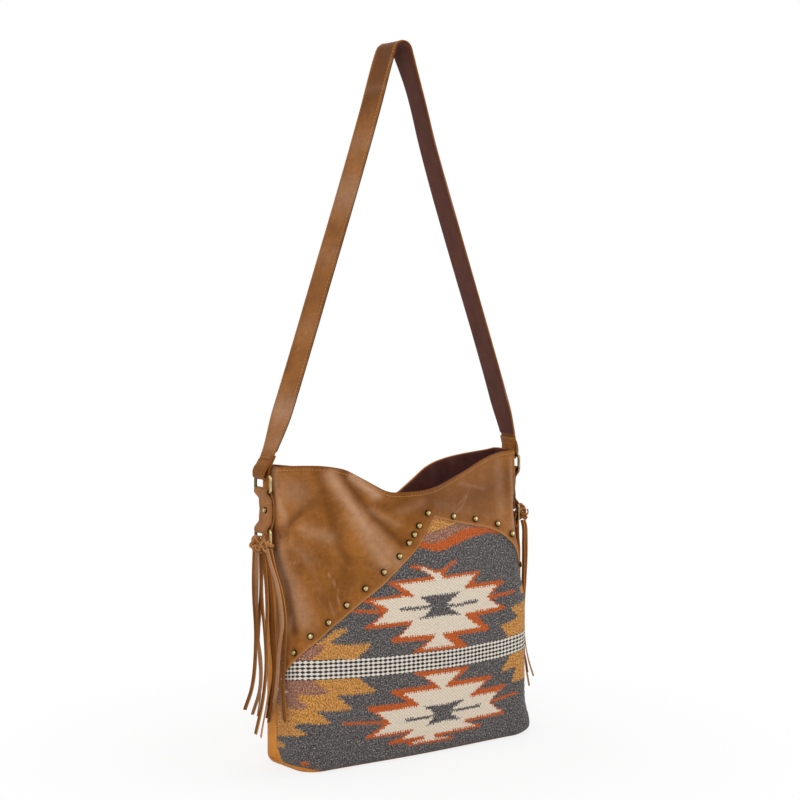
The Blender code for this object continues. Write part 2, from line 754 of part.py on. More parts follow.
def strap_half_width(z):
    return mix(STRAP_END_HALF_WIDTH, STRAP_HALF_WIDTH,
               smooth((z - STRAP_TAPER_LOW) / (STRAP_TAPER_HIGH - STRAP_TAPER_LOW)))


def inward(line, k, distance):
    # A point beside the line, on the side towards the inside of the strap's arch.
    before, after = line[max(k - 1, 0)], line[min(k + 1, len(line) - 1)]
    run = after - before
    run.normalize()
    return Vector((line[k][0] + run[1] * distance, line[k][1] - run[0] * distance))


def build_strap(leather, backing):
    route, loop, bar_x, bar_z = strap_routes()
    line = smooth_route(route, APEX_Z / STRAP_STEPS)
    beside = STRAP_LEATHER / 2 + PIECE_GAP

    def return_line(points):
        # The end of the outer strip, folded round the bar and laid back on the inner side.
        found = []
        for k, point in enumerate(points):
            if point[1] > STRAP_RETURN_TOP:
                break
            near = smooth((bar_z + RING_HEIGHT - point[1]) / RING_HEIGHT)
            distance = mix(2 * beside - PIECE_GAP, 2 * loop, near)
            found.append(inward(line, line.index(point), distance))
        return found

    left_low = [p for p in line if p[0] < 0 and p[1] <= STRAP_RETURN_TOP]
    right_low = [p for p in reversed(line) if p[0] > 0 and p[1] <= STRAP_RETURN_TOP]
    left_back = return_line(left_low)
    right_back = return_line(right_low)
    arc_left, arc_right = [], []
    for k in range(1, 8):
        angle = math.pi * k / 8
        arc_left.append(Vector((-bar_x + loop * math.cos(angle), bar_z - loop * math.sin(angle))))
        arc_right.append(Vector((bar_x + loop * math.cos(angle), bar_z - loop * math.sin(angle))))
    path = left_back[::-1] + arc_left + line + arc_right + right_back
    widths = [strap_half_width(p[1]) for p in path]
    pivot = ring_pivot(-1, bar_z)
    placed = [(p[0] - pivot.x, p[1] - pivot.z) for p in path]
    outer = band_mesh("strap_leather", placed, STRAP_LEATHER, widths)
    add_object("strap_leather", outer, leather, pivot)

    depth = STRAP_LEATHER / 2 + PIECE_GAP + STRAP_BACKING / 2
    inner = [
        inward(line, k, depth) for k, p in enumerate(line)
        if p[1] > max(left_low[-1][1], right_low[-1][1]) + STRAP_BACKING
    ]
    widths = [strap_half_width(p[1]) - 0.0008 for p in inner]
    placed = [(p[0] - pivot.x, p[1] - pivot.z) for p in inner]
    add_object("strap_backing", band_mesh("strap_backing", placed, STRAP_BACKING, widths), backing, pivot)


def build_rings(brass):
    for side, name in ((-1, "left"), (1, "right")):
        build_ring(f"{name}_upper_ring", brass, ring_pivot(side, UPPER_PIVOT_Z), RING_HEIGHT)
        build_ring(f"{name}_lower_ring", brass, ring_pivot(side, LOWER_PIVOT_Z), -RING_HEIGHT)


def tail_points(pivot, side, y, top_z, layer, end):
    # A tail hangs from its knot to its end, fanning out near the top, with a slight wave.
    start = Vector((layer * (LACE_THICKNESS / 2 + PIECE_GAP), y, top_z))
    out, along, end_z = end
    bag_side = BODY_WIDTH / 2 + side * BODY_LEAN_X
    finish = Vector((bag_side + out - abs(pivot.x), along, end_z - pivot.z))
    found = []
    for k in range(1, LACE_STEPS + 1):
        t = k / LACE_STEPS
        spread = 1.0 - (1.0 - t) ** 2
        wave = LACE_WAVE * math.sin(2.0 * math.pi * t + y / LACE_PITCH)
        found.append(Vector((
            side * (mix(start.x, finish.x, spread) + wave),
            mix(start.y, finish.y, spread),
            mix(start.z, finish.z, t),
        )))
    return found


def lace_points(pivot, side, y, knot_z, ends):
    # One lace is folded over the ring's lower bar, and both tails leave the same knot.
    loop = RING_WIRE_RADIUS + LACE_BAR_CLEARANCE + LACE_THICKNESS / 2
    close = LACE_THICKNESS / 2 + PIECE_GAP
    over = []
    for k in range(5):
        angle = math.pi * k / 4
        over.append(Vector((side * loop * math.cos(angle), y, loop * math.sin(angle) - RING_HEIGHT)))
    outer = [Vector((side * mix(close, loop, 0.35), y, mix(knot_z, -RING_HEIGHT, 0.5))),
             Vector((side * close, y, knot_z))]
    inner = [Vector((-point.x, point.y, point.z)) for point in outer]
    outer += tail_points(pivot, side, y, knot_z, 1, ends[0])
    inner += tail_points(pivot, side, y, knot_z, -1, ends[1])
    return outer[::-1] + over + inner


def ribbon_mesh(name, points, half_width, thickness):
    mesh = bpy.data.meshes.new(name)
    bm = bmesh.new()
    sections = []
    for k, point in enumerate(points):
        run = (points[min(k + 1, len(points) - 1)] - points[max(k - 1, 0)]).normalized()
        wide = Vector((0.0, 1.0, 0.0))
        wide = (wide - run * wide.dot(run)).normalized() * half_width
        deep = run.cross(wide).normalized() * (thickness / 2)
        sections.append([bm.verts.new(point + a * wide + b * deep) for a, b in ((-1, 1), (1, 1), (1, -1), (-1, -1))])
    bm.faces.new(sections[0])
    bm.faces.new(sections[-1])
    for low, high in zip(sections, sections[1:]):
        for j in range(4):
            i = (j + 1) % 4
            bm.faces.new((low[j], low[i], high[i], high[j]))
    bmesh.ops.recalc_face_normals(bm, faces=bm.faces)
    bm.to_mesh(mesh)
    bm.free()
    mesh.shade_smooth()
    mesh.set_sharp_from_angle(angle=math.radians(50))
    return mesh


def knot_cutter(name, pivot, y, z):
    # The bulk of the knot, joined to the lace by a Boolean union and left out of the model.
    mesh = bpy.data.meshes.new(name)
    bm = bmesh.new()
    bmesh.ops.create_cube(bm, size=1.0)
    bmesh.ops.scale(bm, vec=KNOT_SIZE, verts=bm.verts)
    bmesh.ops.bevel(bm, geom=bm.edges, offset=KNOT_BEVEL, segments=1, affect="EDGES")
    bm.to_mesh(mesh)
    bm.free()
    knot = bpy.data.objects.new(name, mesh)
    knot.location = pivot + Vector((0.0, y, z))
    knot.hide_render = True
    knot.display_type = "WIRE"
    bpy.context.collection.objects.link(knot)
    return knot


def build_tassel(name, leather, side, tails):
    pivot = ring_pivot(side, LOWER_PIVOT_Z)
    for k, ends in enumerate(tails):
        y = (k - (len(tails) - 1) / 2) * LACE_PITCH
        knot_z = -RING_HEIGHT - KNOT_DROP - KNOT_STAGGER * (k % 2)
        points = lace_points(pivot, side, y, knot_z, ends)
        mesh = ribbon_mesh(f"{name}_lace_{k + 1}", points, LACE_HALF_WIDTH, LACE_THICKNESS)
        lace = add_object(f"{name}_lace_{k + 1}", mesh, leather, pivot)
        union = lace.modifiers.new("knot", "BOOLEAN")
        union.operation = "UNION"
        union.object = knot_cutter(f"{name}_knot_{k + 1}", pivot, y, knot_z)


def main():
    clear_scene()
    tan = make_material("tan_leather", (0.30, 0.125, 0.040), 0.42)
    golden = make_material("golden_leather", (0.42, 0.19, 0.055), 0.50)
    wool = make_material("kilim_wool", (0.12, 0.105, 0.10), 0.95)
    cloth = make_material("lining_cloth", (0.055, 0.018, 0.020), 0.80)
    backing = make_material("strap_backing", (0.085, 0.028, 0.024), 0.60)
    brass = make_material("antique_brass", (0.36, 0.24, 0.10), 0.30, 1.0)
    build_panels(wool, tan, golden)
    build_base(golden)
    build_lining(cloth)
    build_rivets(brass)
    for side, name in ((-1, "left"), (1, "right")):
        build_tab(f"{name}_tab", tan, side)
    build_tassel("left_tassel", tan, -1, LEFT_TAILS)
    build_tassel("right_tassel", tan, 1, RIGHT_TAILS)
    build_strap(tan, backing)
    build_rings(brass)


main()
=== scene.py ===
# Looks of a leather and wool shoulder bag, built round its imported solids.
# Metres, +Z up, the front faces -Y. Places on the bag's wall are given as way (round the bag, 0 at
# the left seam, 5 at the right seam, 10 back at the left) and up (distance up the wall).
import math

import bmesh
import bpy
import numpy as np
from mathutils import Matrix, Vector


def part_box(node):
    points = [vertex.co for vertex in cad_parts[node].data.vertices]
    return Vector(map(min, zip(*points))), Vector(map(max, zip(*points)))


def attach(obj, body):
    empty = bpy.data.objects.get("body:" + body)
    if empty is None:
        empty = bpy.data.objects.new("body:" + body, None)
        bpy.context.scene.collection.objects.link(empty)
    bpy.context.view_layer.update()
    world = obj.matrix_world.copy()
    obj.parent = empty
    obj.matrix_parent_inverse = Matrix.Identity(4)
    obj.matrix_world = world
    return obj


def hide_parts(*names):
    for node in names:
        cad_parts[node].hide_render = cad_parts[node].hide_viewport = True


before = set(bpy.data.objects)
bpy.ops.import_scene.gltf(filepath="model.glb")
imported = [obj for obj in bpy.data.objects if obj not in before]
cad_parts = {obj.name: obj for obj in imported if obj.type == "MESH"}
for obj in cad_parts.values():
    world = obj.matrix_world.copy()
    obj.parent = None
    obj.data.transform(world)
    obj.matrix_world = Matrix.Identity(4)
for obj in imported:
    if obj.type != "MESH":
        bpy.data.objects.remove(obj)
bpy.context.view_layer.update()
print("frame loaded")

mm = 0.001
bothSides = ((-1, "left"), (1, "right"))


# The camera stands where the photo's did: degrees round from the front and up, and metres.
camera = dict(turn=36.83, rise=4.74, distance=2.35689, lens=93.85, sensor=36.0,
              target=(0.0, 0.010, 0.39684), sideways=0.00865)


def placeCamera():
    turn, rise = math.radians(camera["turn"]), math.radians(camera["rise"])
    back = Vector((-math.sin(turn) * math.cos(rise), -math.cos(turn) * math.cos(rise), math.sin(rise)))
    right = Vector((math.cos(turn), -math.sin(turn), 0.0))
    data = bpy.data.cameras.new("camera")
    data.lens, data.sensor_width = camera["lens"], camera["sensor"]
    item = bpy.data.objects.new("camera", data)
    bpy.context.scene.collection.objects.link(item)
    item.location = Vector(camera["target"]) + right * camera["sideways"] + back * camera["distance"]
    item.rotation_mode = "QUATERNION"
    item.rotation_quaternion = back.to_track_quat("Z", "Y")
    bpy.context.scene.camera = item


placeCamera()
bpy.context.scene.view_settings.view_transform = "Standard"


# Shader maths.
def colour(red, green, blue):
    # A screen colour from 0 to 255 as a linear colour.
    parts = [c / 255 for c in (red, green, blue)]
    return tuple(c / 12.92 if c <= 0.04045 else ((c + 0.055) / 1.055) ** 2.4 for c in parts) + (1.0,)


class Value:
    # A socket of a node tree that can be used in sums.
    def __init__(self, nodes, socket):
        self.nodes, self.socket = nodes, socket

    def maths(self, operation, *values, clamp=False):
        return self.nodes.node("Math", {"operation": operation, "use_clamp": clamp}, dict(enumerate(values)))

    def __add__(self, other):
        return self.maths("ADD", self, other)

    def __sub__(self, other):
        return self.maths("SUBTRACT", self, other)

    def __rsub__(self, other):
        return self.maths("SUBTRACT", other, self)

    def __mul__(self, other):
        return self.maths("MULTIPLY", self, other)

    __radd__, __rmul__ = __add__, __mul__

    def __abs__(self):
        return self.maths("ABSOLUTE", self)

    def sine(self):
        return self.maths("SINE", self)

    def clipped(self):
        return self.maths("ADD", self, 0.0, clamp=True)


class Nodes:
    # A node tree while it is built.
    def __init__(self, tree):
        self.tree = tree

    def node(self, kind, settings, sockets, out=0):
        made = self.tree.nodes.new("ShaderNode" + kind)
        for key, value in settings.items():
            setattr(made, key, value)
        for key, value in sockets.items():
            if isinstance(value, Value):
                self.tree.links.new(value.socket, pick(made.inputs, key))
            else:
                pick(made.inputs, key).default_value = value
        return Value(self, pick(made.outputs, out))

    def seen(self):
        # 1 where the camera sees the place, or sees it in or through something.
        rays = [self.node("LightPath", {}, {}, f"Is {kind} Ray")
                for kind in ("Camera", "Glossy", "Transmission")]
        return (rays[0] + rays[1] + rays[2]).clipped()

    def show(self, shader, output):
        self.tree.links.new(shader.socket, self.tree.nodes[output].inputs["Surface"])


class Finish(Nodes):
    # A material while it is built. Constants are set on the shader's own sockets.
    def __init__(self, name, **constants):
        self.material = bpy.data.materials.new(name)
        self.material.use_nodes = True
        super().__init__(self.material.node_tree)
        self.shader = self.tree.nodes["Principled BSDF"]
        for key, value in constants.items():
            self.shader.inputs[key.replace("_", " ")].default_value = value

    def here(self):
        return self.node("TexCoord", {}, {}, "Object")

    def stretched(self, scale):
        return self.node("Mapping", {}, {"Vector": self.here(), "Scale": scale})

    def noise(self, scale, detail=2.0, roughness=0.5, where=None):
        return self.node("TexNoise", {}, {"Vector": where or self.here(), "Scale": scale,
                                          "Detail": detail, "Roughness": roughness}, "Fac")

    def spread(self, value, low, high):
        # 0 below low and 1 above high.
        return self.node("MapRange", {"clamp": True}, {"Value": value, "From Min": low, "From Max": high})

    def painted(self, name, out="Fac"):
        return self.node("Attribute", {"attribute_name": name}, {}, out)

    def blend(self, share, first, second, how="MIX"):
        return self.node("Mix", {"data_type": "RGBA", "blend_type": how, "clamp_factor": True},
                         {"Factor": share, "A": first, "B": second}, "Result")

    def bump(self, height, depth, strength=1.0, below=None):
        sockets = {"Height": height, "Distance": depth, "Strength": strength}
        if below:
            sockets["Normal"] = below
        return self.node("Bump", {}, sockets, "Normal")

    def wear(self, **sockets):
        for key, value in sockets.items():
            self.tree.links.new(value.socket, self.shader.inputs[key.replace("_", " ")])
        return self.material


def pick(sockets, key):
    # A socket by its place, or the one in use by its name.
    return sockets[key] if isinstance(key, int) else next(s for s in sockets if s.name == key and s.enabled)


# Meshes, and the small sums that they need.
def addPiece(name, points, faces, material, body, nodes, sharp=50.0, seat=None):
    # A piece that stands for its nodes. seat is its place and the way it faces, for one made at nought.
    mesh = bpy.data.meshes.new(name)
    mesh.from_pydata([tuple(p) for p in np.asarray(points, float).reshape(-1, 3).tolist()], [], faces)
    mesh.validate()
    mesh.shade_smooth()
    if sharp:
        mesh.set_sharp_from_angle(angle=math.radians(sharp))
    mesh.materials.append(material)
    item = bpy.data.objects.new(name, mesh)
    bpy.context.scene.collection.objects.link(item)
    if seat:
        item.rotation_mode = "QUATERNION"
        item.location, item.rotation_quaternion = Vector(seat[0]), Vector(seat[1]).to_track_quat("Z", "Y")
    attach(item, body)
    if nodes:
        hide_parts(*nodes)
    return item


def paint(item, name, values, kind="FLOAT", domain="POINT"):
    # Values over a surface that its material reads by name.
    attribute = item.data.attributes.new(name, kind, domain)
    key = "color" if kind == "FLOAT_COLOR" else "value"
    attribute.data.foreach_set(key, np.asarray(values, np.float32).ravel())


def mergeDoubles(item):
    bm = bmesh.new()
    bm.from_mesh(item.data)
    bmesh.ops.remove_doubles(bm, verts=bm.verts, dist=1e-6)
    bmesh.ops.dissolve_degenerate(bm, edges=bm.edges, dist=1e-7)
    bm.to_mesh(item.data)
    bm.free()


def joined(parts):
    # Several (points, faces) as one.
    points, faces = [], []
    for p, f in parts:
        faces += [tuple(v + len(points) for v in face) for face in f]
        points += np.reshape(p, (-1, 3)).tolist()
    return points, faces


def gridFaces(across, along, roundAcross=False, roundAlong=False, start=0):
    # Faces of a grid of points, stored across first and along within.
    i = np.arange(across if roundAcross else across - 1)
    j = np.arange(along if roundAlong else along - 1)
    i, j = np.meshgrid(i, j, indexing="ij")
    i2, j2 = (i + 1) % across, (j + 1) % along
    quads = np.stack([i * along + j, i2 * along + j, i2 * along + j2, i * along + j2], -1) + start
    return [tuple(q) for q in quads.reshape(-1, 4).tolist()]


def smooth(t):
    t = np.clip(t, 0.0, 1.0)
    return t * t * (3.0 - 2.0 * t)


def mix(a, b, t):
    return a + (b - a) * t


def bell(x, middle, width):
    # 1 in the middle, fading to either side.
    return np.exp(-((x - middle) / width) ** 2)


def readCurve(points, at):
    # A smooth curve through (place, value) pairs.
    x, y = np.array(points, float).T
    slope = np.empty_like(y)
    slope[1:-1] = (y[2:] - y[:-2]) / (x[2:] - x[:-2])
    slope[0], slope[-1] = (y[1] - y[0]) / (x[1] - x[0]), (y[-1] - y[-2]) / (x[-1] - x[-2])
    at = np.clip(at, x[0], x[-1])
    k = np.clip(np.searchsorted(x, at, side="right") - 1, 0, len(x) - 2)
    width = x[k + 1] - x[k]
    t = (at - x[k]) / width
    return (y[k] * (1 + 2 * t) * (1 - t) ** 2 + y[k + 1] * t * t * (3 - 2 * t)
            + slope[k] * width * t * (1 - t) ** 2 - slope[k + 1] * width * t * t * (1 - t))


# The wall of the bag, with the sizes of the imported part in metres.
bag = dict(
    rimHeight=0.334, bodyWidth=0.323, mouthWidth=0.333, leanX=0.0035,
    frontDepth=0.056, backDepth=0.039, frontBulge=0.004, backBulge=0.002, cornerRadius=0.028,
    baseRounding=0.010, strapY=0.010, gussetHalf=0.017, mouthFrontBulge=0.025, mouthBackBulge=0.003,
    mouthCornerRadius=0.006, depthTaper=0.42, widthTaper=(0.60, 0.76),
    wool=0.0018, yoke=0.0015, back=0.0018, base=0.0018, lining=0.0009, liningSlack=0.0011,
    gap=0.0003, lapGap=0.0006, lap=0.008, lapEase=0.002, settle=0.012,
    baseSeamFront=0.006, baseSeamSide=0.013, baseSeamRise=0.014, seamRiseReach=0.0065,
    wayStep=0.02, upStep=0.002,  # steps over which the wall's direction is taken
    girthHeight=0.12,  # distances round the bag are measured at this height
    frontRimDrops=[
        (-0.160, 0.0), (-0.135, 0.0010), (-0.115, 0.0022), (-0.099, 0.0044), (-0.086, 0.0080),
        (-0.070, 0.0162), (-0.050, 0.0275), (-0.040, 0.0328), (-0.030, 0.0358), (-0.012, 0.0367),
        (0.006, 0.0365), (0.022, 0.0352), (0.038, 0.0323), (0.060, 0.0262), (0.090, 0.0175),
        (0.110, 0.0108), (0.127, 0.0066), (0.143, 0.0036), (0.160, 0.0024)],
    backRimDrops=[
        (-0.160, 0.0), (-0.135, 0.0035), (-0.110, 0.0075), (-0.085, 0.0150), (-0.060, 0.0275),
        (-0.035, 0.0410), (-0.015, 0.0475), (0.004, 0.0490), (0.018, 0.0465), (0.030, 0.0395),
        (0.045, 0.0295), (0.058, 0.0205), (0.070, 0.0150), (0.085, 0.0108), (0.106, 0.0075),
        (0.130, 0.0053), (0.150, 0.0038), (0.160, 0.0024)],
    # lower edge of the yoke: mm round the front, and height in mm
    yokeEdgeLeft=[(0, 90.5), (11, 102.5), (25, 114), (37, 125), (48, 135.5), (60, 145.3), (74.6, 156),
                  (93, 166), (111, 175.8), (130, 186.3), (147.7, 195.3), (160, 201.8), (174.3, 210.3),
                  (186.7, 218.8), (196, 226.2), (204.5, 234.6), (210.5, 243.3), (215.5, 251.5), (225, 266)],
    yokeEdgeRight=[(225, 266), (253, 257.6), (268, 253.6), (284, 249.8), (298, 246.4), (310, 242.2),
                   (323, 235.8), (335, 226.5), (344, 217.5), (352, 209.5), (362, 200.5), (383, 184),
                   (411, 166)],
    # soft folds: x and z of both ends, half width, height
    frontFolds=[
        (-0.165, 0.258, -0.128, 0.287, 0.008, -0.0024), (-0.100, 0.330, -0.070, 0.215, 0.017, 0.0030),
        (-0.135, 0.315, -0.125, 0.190, 0.013, -0.0025), (0.010, 0.292, 0.012, 0.270, 0.030, 0.0030),
        (0.160, 0.012, 0.160, 0.013, 0.018, 0.0060)],
    backFolds=[(-0.110, 0.300, -0.060, 0.150, 0.022, -0.0030),
               (0.100, 0.290, 0.070, 0.140, 0.024, -0.0028)],
    # distance round the bag from the left seam at each whole way of the front
    aroundFront=(0.0, 0.0280, 0.0720, 0.3391, 0.3831, 0.4111),
    # finer creases of the front leather: routes as (around, height) in mm, half width, height in mm
    creases=[
        ([(126, 316), (133, 297), (144, 272), (156, 247), (170, 222)], 9.0, 1.7),
        ([(109, 322), (113, 300), (116, 276), (118, 250), (118, 226)], 7.0, -2.0),
        ([(131, 318), (143, 300), (154, 281), (168, 262), (181, 248), (188, 238)], 6.0, -2.3),
        ([(144, 315), (156, 304), (169, 293)], 4.0, 1.2),
        ([(152, 286), (165, 277), (183, 265)], 5.0, 1.1),
        ([(22, 256), (42, 258), (60, 263), (76, 270), (92, 280)], 4.0, -2.2),
        ([(30, 270), (55, 276), (80, 288)], 7.0, 1.2), ([(22, 247), (45, 251), (56, 257)], 2.0, -0.7),
        ([(26, 208), (30, 182), (33, 160), (34, 140)], 5.0, -1.5), ([(43, 172), (45, 150)], 4.0, 0.9),
        ([(92, 208), (96, 194), (93, 176)], 1.4, -0.3), ([(86, 198), (84, 170)], 1.2, -0.25),
        ([(119, 205), (114, 180)], 2.0, -0.3), ([(30, 297), (52, 296)], 1.6, -0.3),
        ([(45, 311), (70, 306)], 2.0, -0.3), ([(84, 262), (104, 252)], 1.5, -0.3),
        ([(86, 254), (112, 248)], 1.3, -0.25), ([(84, 245), (110, 238)], 1.3, -0.25),
        ([(92, 268), (116, 258)], 1.6, -0.3), ([(335, 330), (338, 262)], 5.0, 0.8),
        ([(368, 262), (368, 200)], 27.0, -4.6), ([(356, 334), (356, 288)], 15.0, 2.2),
        ([(24, 41), (110, 38)], 6.0, -1.3), ([(24, 28), (120, 25)], 8.0, 1.2)],
)
fillet = bag["baseRounding"] * math.pi / 2
sideSpan = bag["aroundFront"][1] / mm  # from a side seam to the next whole way


def lineDistance(points, u, v):
    # The distance of each place from a route.
    best = np.full(np.broadcast(u, v).shape, np.inf)
    for (u0, v0), (u1, v1) in zip(points, points[1:]):
        run = (u1 - u0) ** 2 + (v1 - v0) ** 2
        t = np.clip(((u - u0) * (u1 - u0) + (v - v0) * (v1 - v0)) / run, 0.0, 1.0)
        best = np.minimum(best, np.hypot(u - mix(u0, u1, t), v - mix(v0, v1, t)))
    return best


def around(way):
    # Millimetres round the front from the left seam.
    return np.interp(way, range(6), bag["aroundFront"]) / mm


def folds(way, x, z):
    # Folds fade out at the side seams, so that front and back meet there.
    way = np.mod(way, 10.0)
    push = np.zeros(way.shape)
    for side, listed, start in ((way <= 5.0, bag["frontFolds"], 0.0), (way > 5.0, bag["backFolds"], 5.0)):
        here = np.zeros(way.shape)
        for x0, z0, x1, z1, width, height in listed:
            here += height * bell(lineDistance([(x0, z0), (x1, z1)], x, z), 0.0, width)
        fade = smooth(np.minimum(way - start, start + 5.0 - way))
        push = np.where(side, here * fade, push)
    u = around(way)
    fine = np.zeros(way.shape)
    for route, width, height in bag["creases"]:
        fine += height * mm * bell(lineDistance(route, u, z / mm), 0.0, width)
    return push + np.where(way <= 5.0, fine * smooth(np.minimum(way, 5.0 - way)), 0.0)


def place(way, q):
    # The horizontal section at a share q of the height there.
    b = bag
    depth = smooth((q - b["depthTaper"]) / (1 - b["depthTaper"]))
    width = smooth((q - b["widthTaper"][0]) / (b["widthTaper"][1] - b["widthTaper"][0]))
    half = mix(b["bodyWidth"], b["mouthWidth"], width) / 2
    lean = mix(b["leanX"], 0.0, width)
    left, right = lean - half, lean + half
    y0 = b["strapY"]
    front = y0 - mix(b["frontDepth"], b["gussetHalf"], depth)
    back = y0 + mix(b["backDepth"], b["gussetHalf"], depth)
    r = mix(b["cornerRadius"], b["mouthCornerRadius"], depth)
    frontBulge = mix(b["frontBulge"], b["mouthFrontBulge"], depth)
    backBulge = mix(b["backBulge"], b["mouthBackBulge"], depth)
    way = np.mod(way, 10.0)
    part = np.floor(way)
    t = way - part
    arch = (1 - (2 * t - 1) ** 2) ** 2

    def corner(cx, cy, start):
        a = np.radians(start + 90 * t)
        return cx + r * np.cos(a), cy + r * np.sin(a)

    stretches = [
        (left, mix(y0, front + r, t)), corner(left + r, front + r, 180.0),
        (mix(left + r, right - r, t), front - frontBulge * arch), corner(right - r, front + r, 270.0),
        (right, mix(front + r, y0, t)), (right, mix(y0, back - r, t)), corner(right - r, back - r, 0.0),
        (mix(right - r, left + r, t), back + backBulge * arch), corner(left + r, back - r, 90.0),
        (left, mix(back - r, y0, t))]
    x, y = np.zeros(np.broadcast(way, q).shape), np.zeros(np.broadcast(way, q).shape)
    for n, (px, py) in enumerate(stretches):
        x, y = np.where(part == n, px, x), np.where(part == n, py, y)
    return x, y


def rimHeight(way):
    x, _ = place(way, np.ones_like(way))
    front = np.mod(way, 10.0) <= 5.0
    drop = np.where(front, readCurve(bag["frontRimDrops"], x), readCurve(bag["backRimDrops"], x))
    return bag["rimHeight"] - drop


def wall(way, up):
    # Below 0 the surface runs inwards under the flat bottom.
    way, up = np.broadcast_arrays(np.asarray(way, float), np.asarray(up, float))
    r = bag["baseRounding"]
    angle = np.clip(up, 0, fillet) / r
    z = np.where(up < 0, 0.0, np.where(up < fillet, r * (1 - np.cos(angle)), r + up - fillet))
    inset = np.where(up < 0, r - up, np.where(up < fillet, r * (1 - np.sin(angle)), 0.0))
    q = z / rimHeight(way)
    x, y = place(way, q)
    x0, y0 = place(way - bag["wayStep"], q)
    x1, y1 = place(way + bag["wayStep"], q)
    run = np.hypot(x1 - x0, y1 - y0)
    push = folds(way, x, z) * smooth(up / fillet) - inset
    return np.stack([x + (y1 - y0) / run * push, y + (x0 - x1) / run * push, z], -1)


def normals(way, up):
    a = wall(way + bag["wayStep"], up) - wall(way - bag["wayStep"], up)
    b = wall(way, up + bag["upStep"]) - wall(way, up - bag["upStep"])
    n = np.cross(a, b)
    return n / np.linalg.norm(n, axis=-1, keepdims=True)


def onWall(way, up, off):
    way, up, off = np.broadcast_arrays(np.asarray(way, float), np.asarray(up, float), np.asarray(off, float))
    return wall(way, up) + normals(way, up) * off[..., None]


def upAt(z):
    return z - bag["baseRounding"] + fillet


def heightOf(up):
    # The height of a place on the wall above the rounding of the base.
    return up - fillet + bag["baseRounding"]


def upBaseSeam(way):
    # The base turns up further at the sides, and most at the left seam.
    x = place(way, np.zeros_like(way))[0]
    r = bag["cornerRadius"]
    side = smooth((abs(x - bag["leanX"]) - bag["bodyWidth"] / 2 + r) / r)
    way = np.mod(way, 10.0)
    fromLeft = np.minimum(around(way), (10 - way) * sideSpan) * mm
    rise = bag["baseSeamRise"] * bell(fromLeft, 0.0, bag["seamRiseReach"])
    return mix(bag["baseSeamFront"], bag["baseSeamSide"], side) + rise


def upYokeEdge(way):
    u, left, right = around(way), bag["yokeEdgeLeft"], bag["yokeEdgeRight"]
    return upAt(np.where(u <= left[-1][0], readCurve(left, u), readCurve(right, u)) * mm)


def yokeOff(way, up):
    # The yoke lies on the wool along its edge and level with the wall above.
    beyond = up - upYokeEdge(way) - bag["lap"] - bag["lapEase"]
    return mix(bag["lapGap"] + bag["yoke"], 0.0, smooth(beyond / bag["settle"]))


def waysBy(spacing, first, last):
    # Places round the bag at about even distances.
    fine = np.linspace(first, last, 4001)
    line = wall(fine, np.full_like(fine, upAt(bag["girthHeight"])))
    far = np.concatenate([[0], np.cumsum(np.linalg.norm(np.diff(line, axis=0), axis=1))])
    count = max(2, round(far[-1] / spacing) + 1)
    return np.interp(np.linspace(0, far[-1], count), far, fine)


def panelLoop(ways, rows, outer, thickness, turn=4):
    # The points of a panel: a closed loop for each column, with rounded edges below and above.
    r = thickness / 2
    b = np.linspace(0, math.pi, turn + 2)[1:-1]
    up = [rows, rows[:, -1:] + r * np.sin(b), rows[:, ::-1], rows[:, :1] - r * np.sin(b)]
    off = [outer, outer[:, -1:] - r + r * np.cos(b),
           outer[:, ::-1] - thickness, outer[:, :1] - r - r * np.cos(b)]
    up, off = np.concatenate(up, 1), np.concatenate(off, 1)
    return up, off, onWall(ways[:, None], up, off)


def panelFaces(count, rowCount, turn=4):
    # Sweeps the loops and closes both side edges of the panel.
    loop = 2 * rowCount + 2 * turn
    faces = gridFaces(count, loop, roundAlong=True)
    for column in (0, count - 1):
        base = column * loop
        pairs = [(base + j, base + 2 * rowCount + turn - 1 - j) for j in range(rowCount)]
        strip = [(a, b, d, c) for (a, c), (b, d) in zip(pairs, pairs[1:])]
        top = tuple(range(base + rowCount - 1, base + rowCount + turn + 1))
        bottom = tuple(range(base + 2 * rowCount + turn - 1, base + loop)) + (base,)
        ends = strip + [top, bottom]
        faces += [f[::-1] for f in ends] if column == 0 else ends
    return faces


def seamShift(points):
    # Draws the side edges of a panel back by half the gap.
    for column, towards in ((0, 1), (-1, -2)):
        along = points[towards] - points[column]
        along /= np.linalg.norm(along, axis=-1, keepdims=True)
        points[column] += along * bag["gap"] / 2
    return points


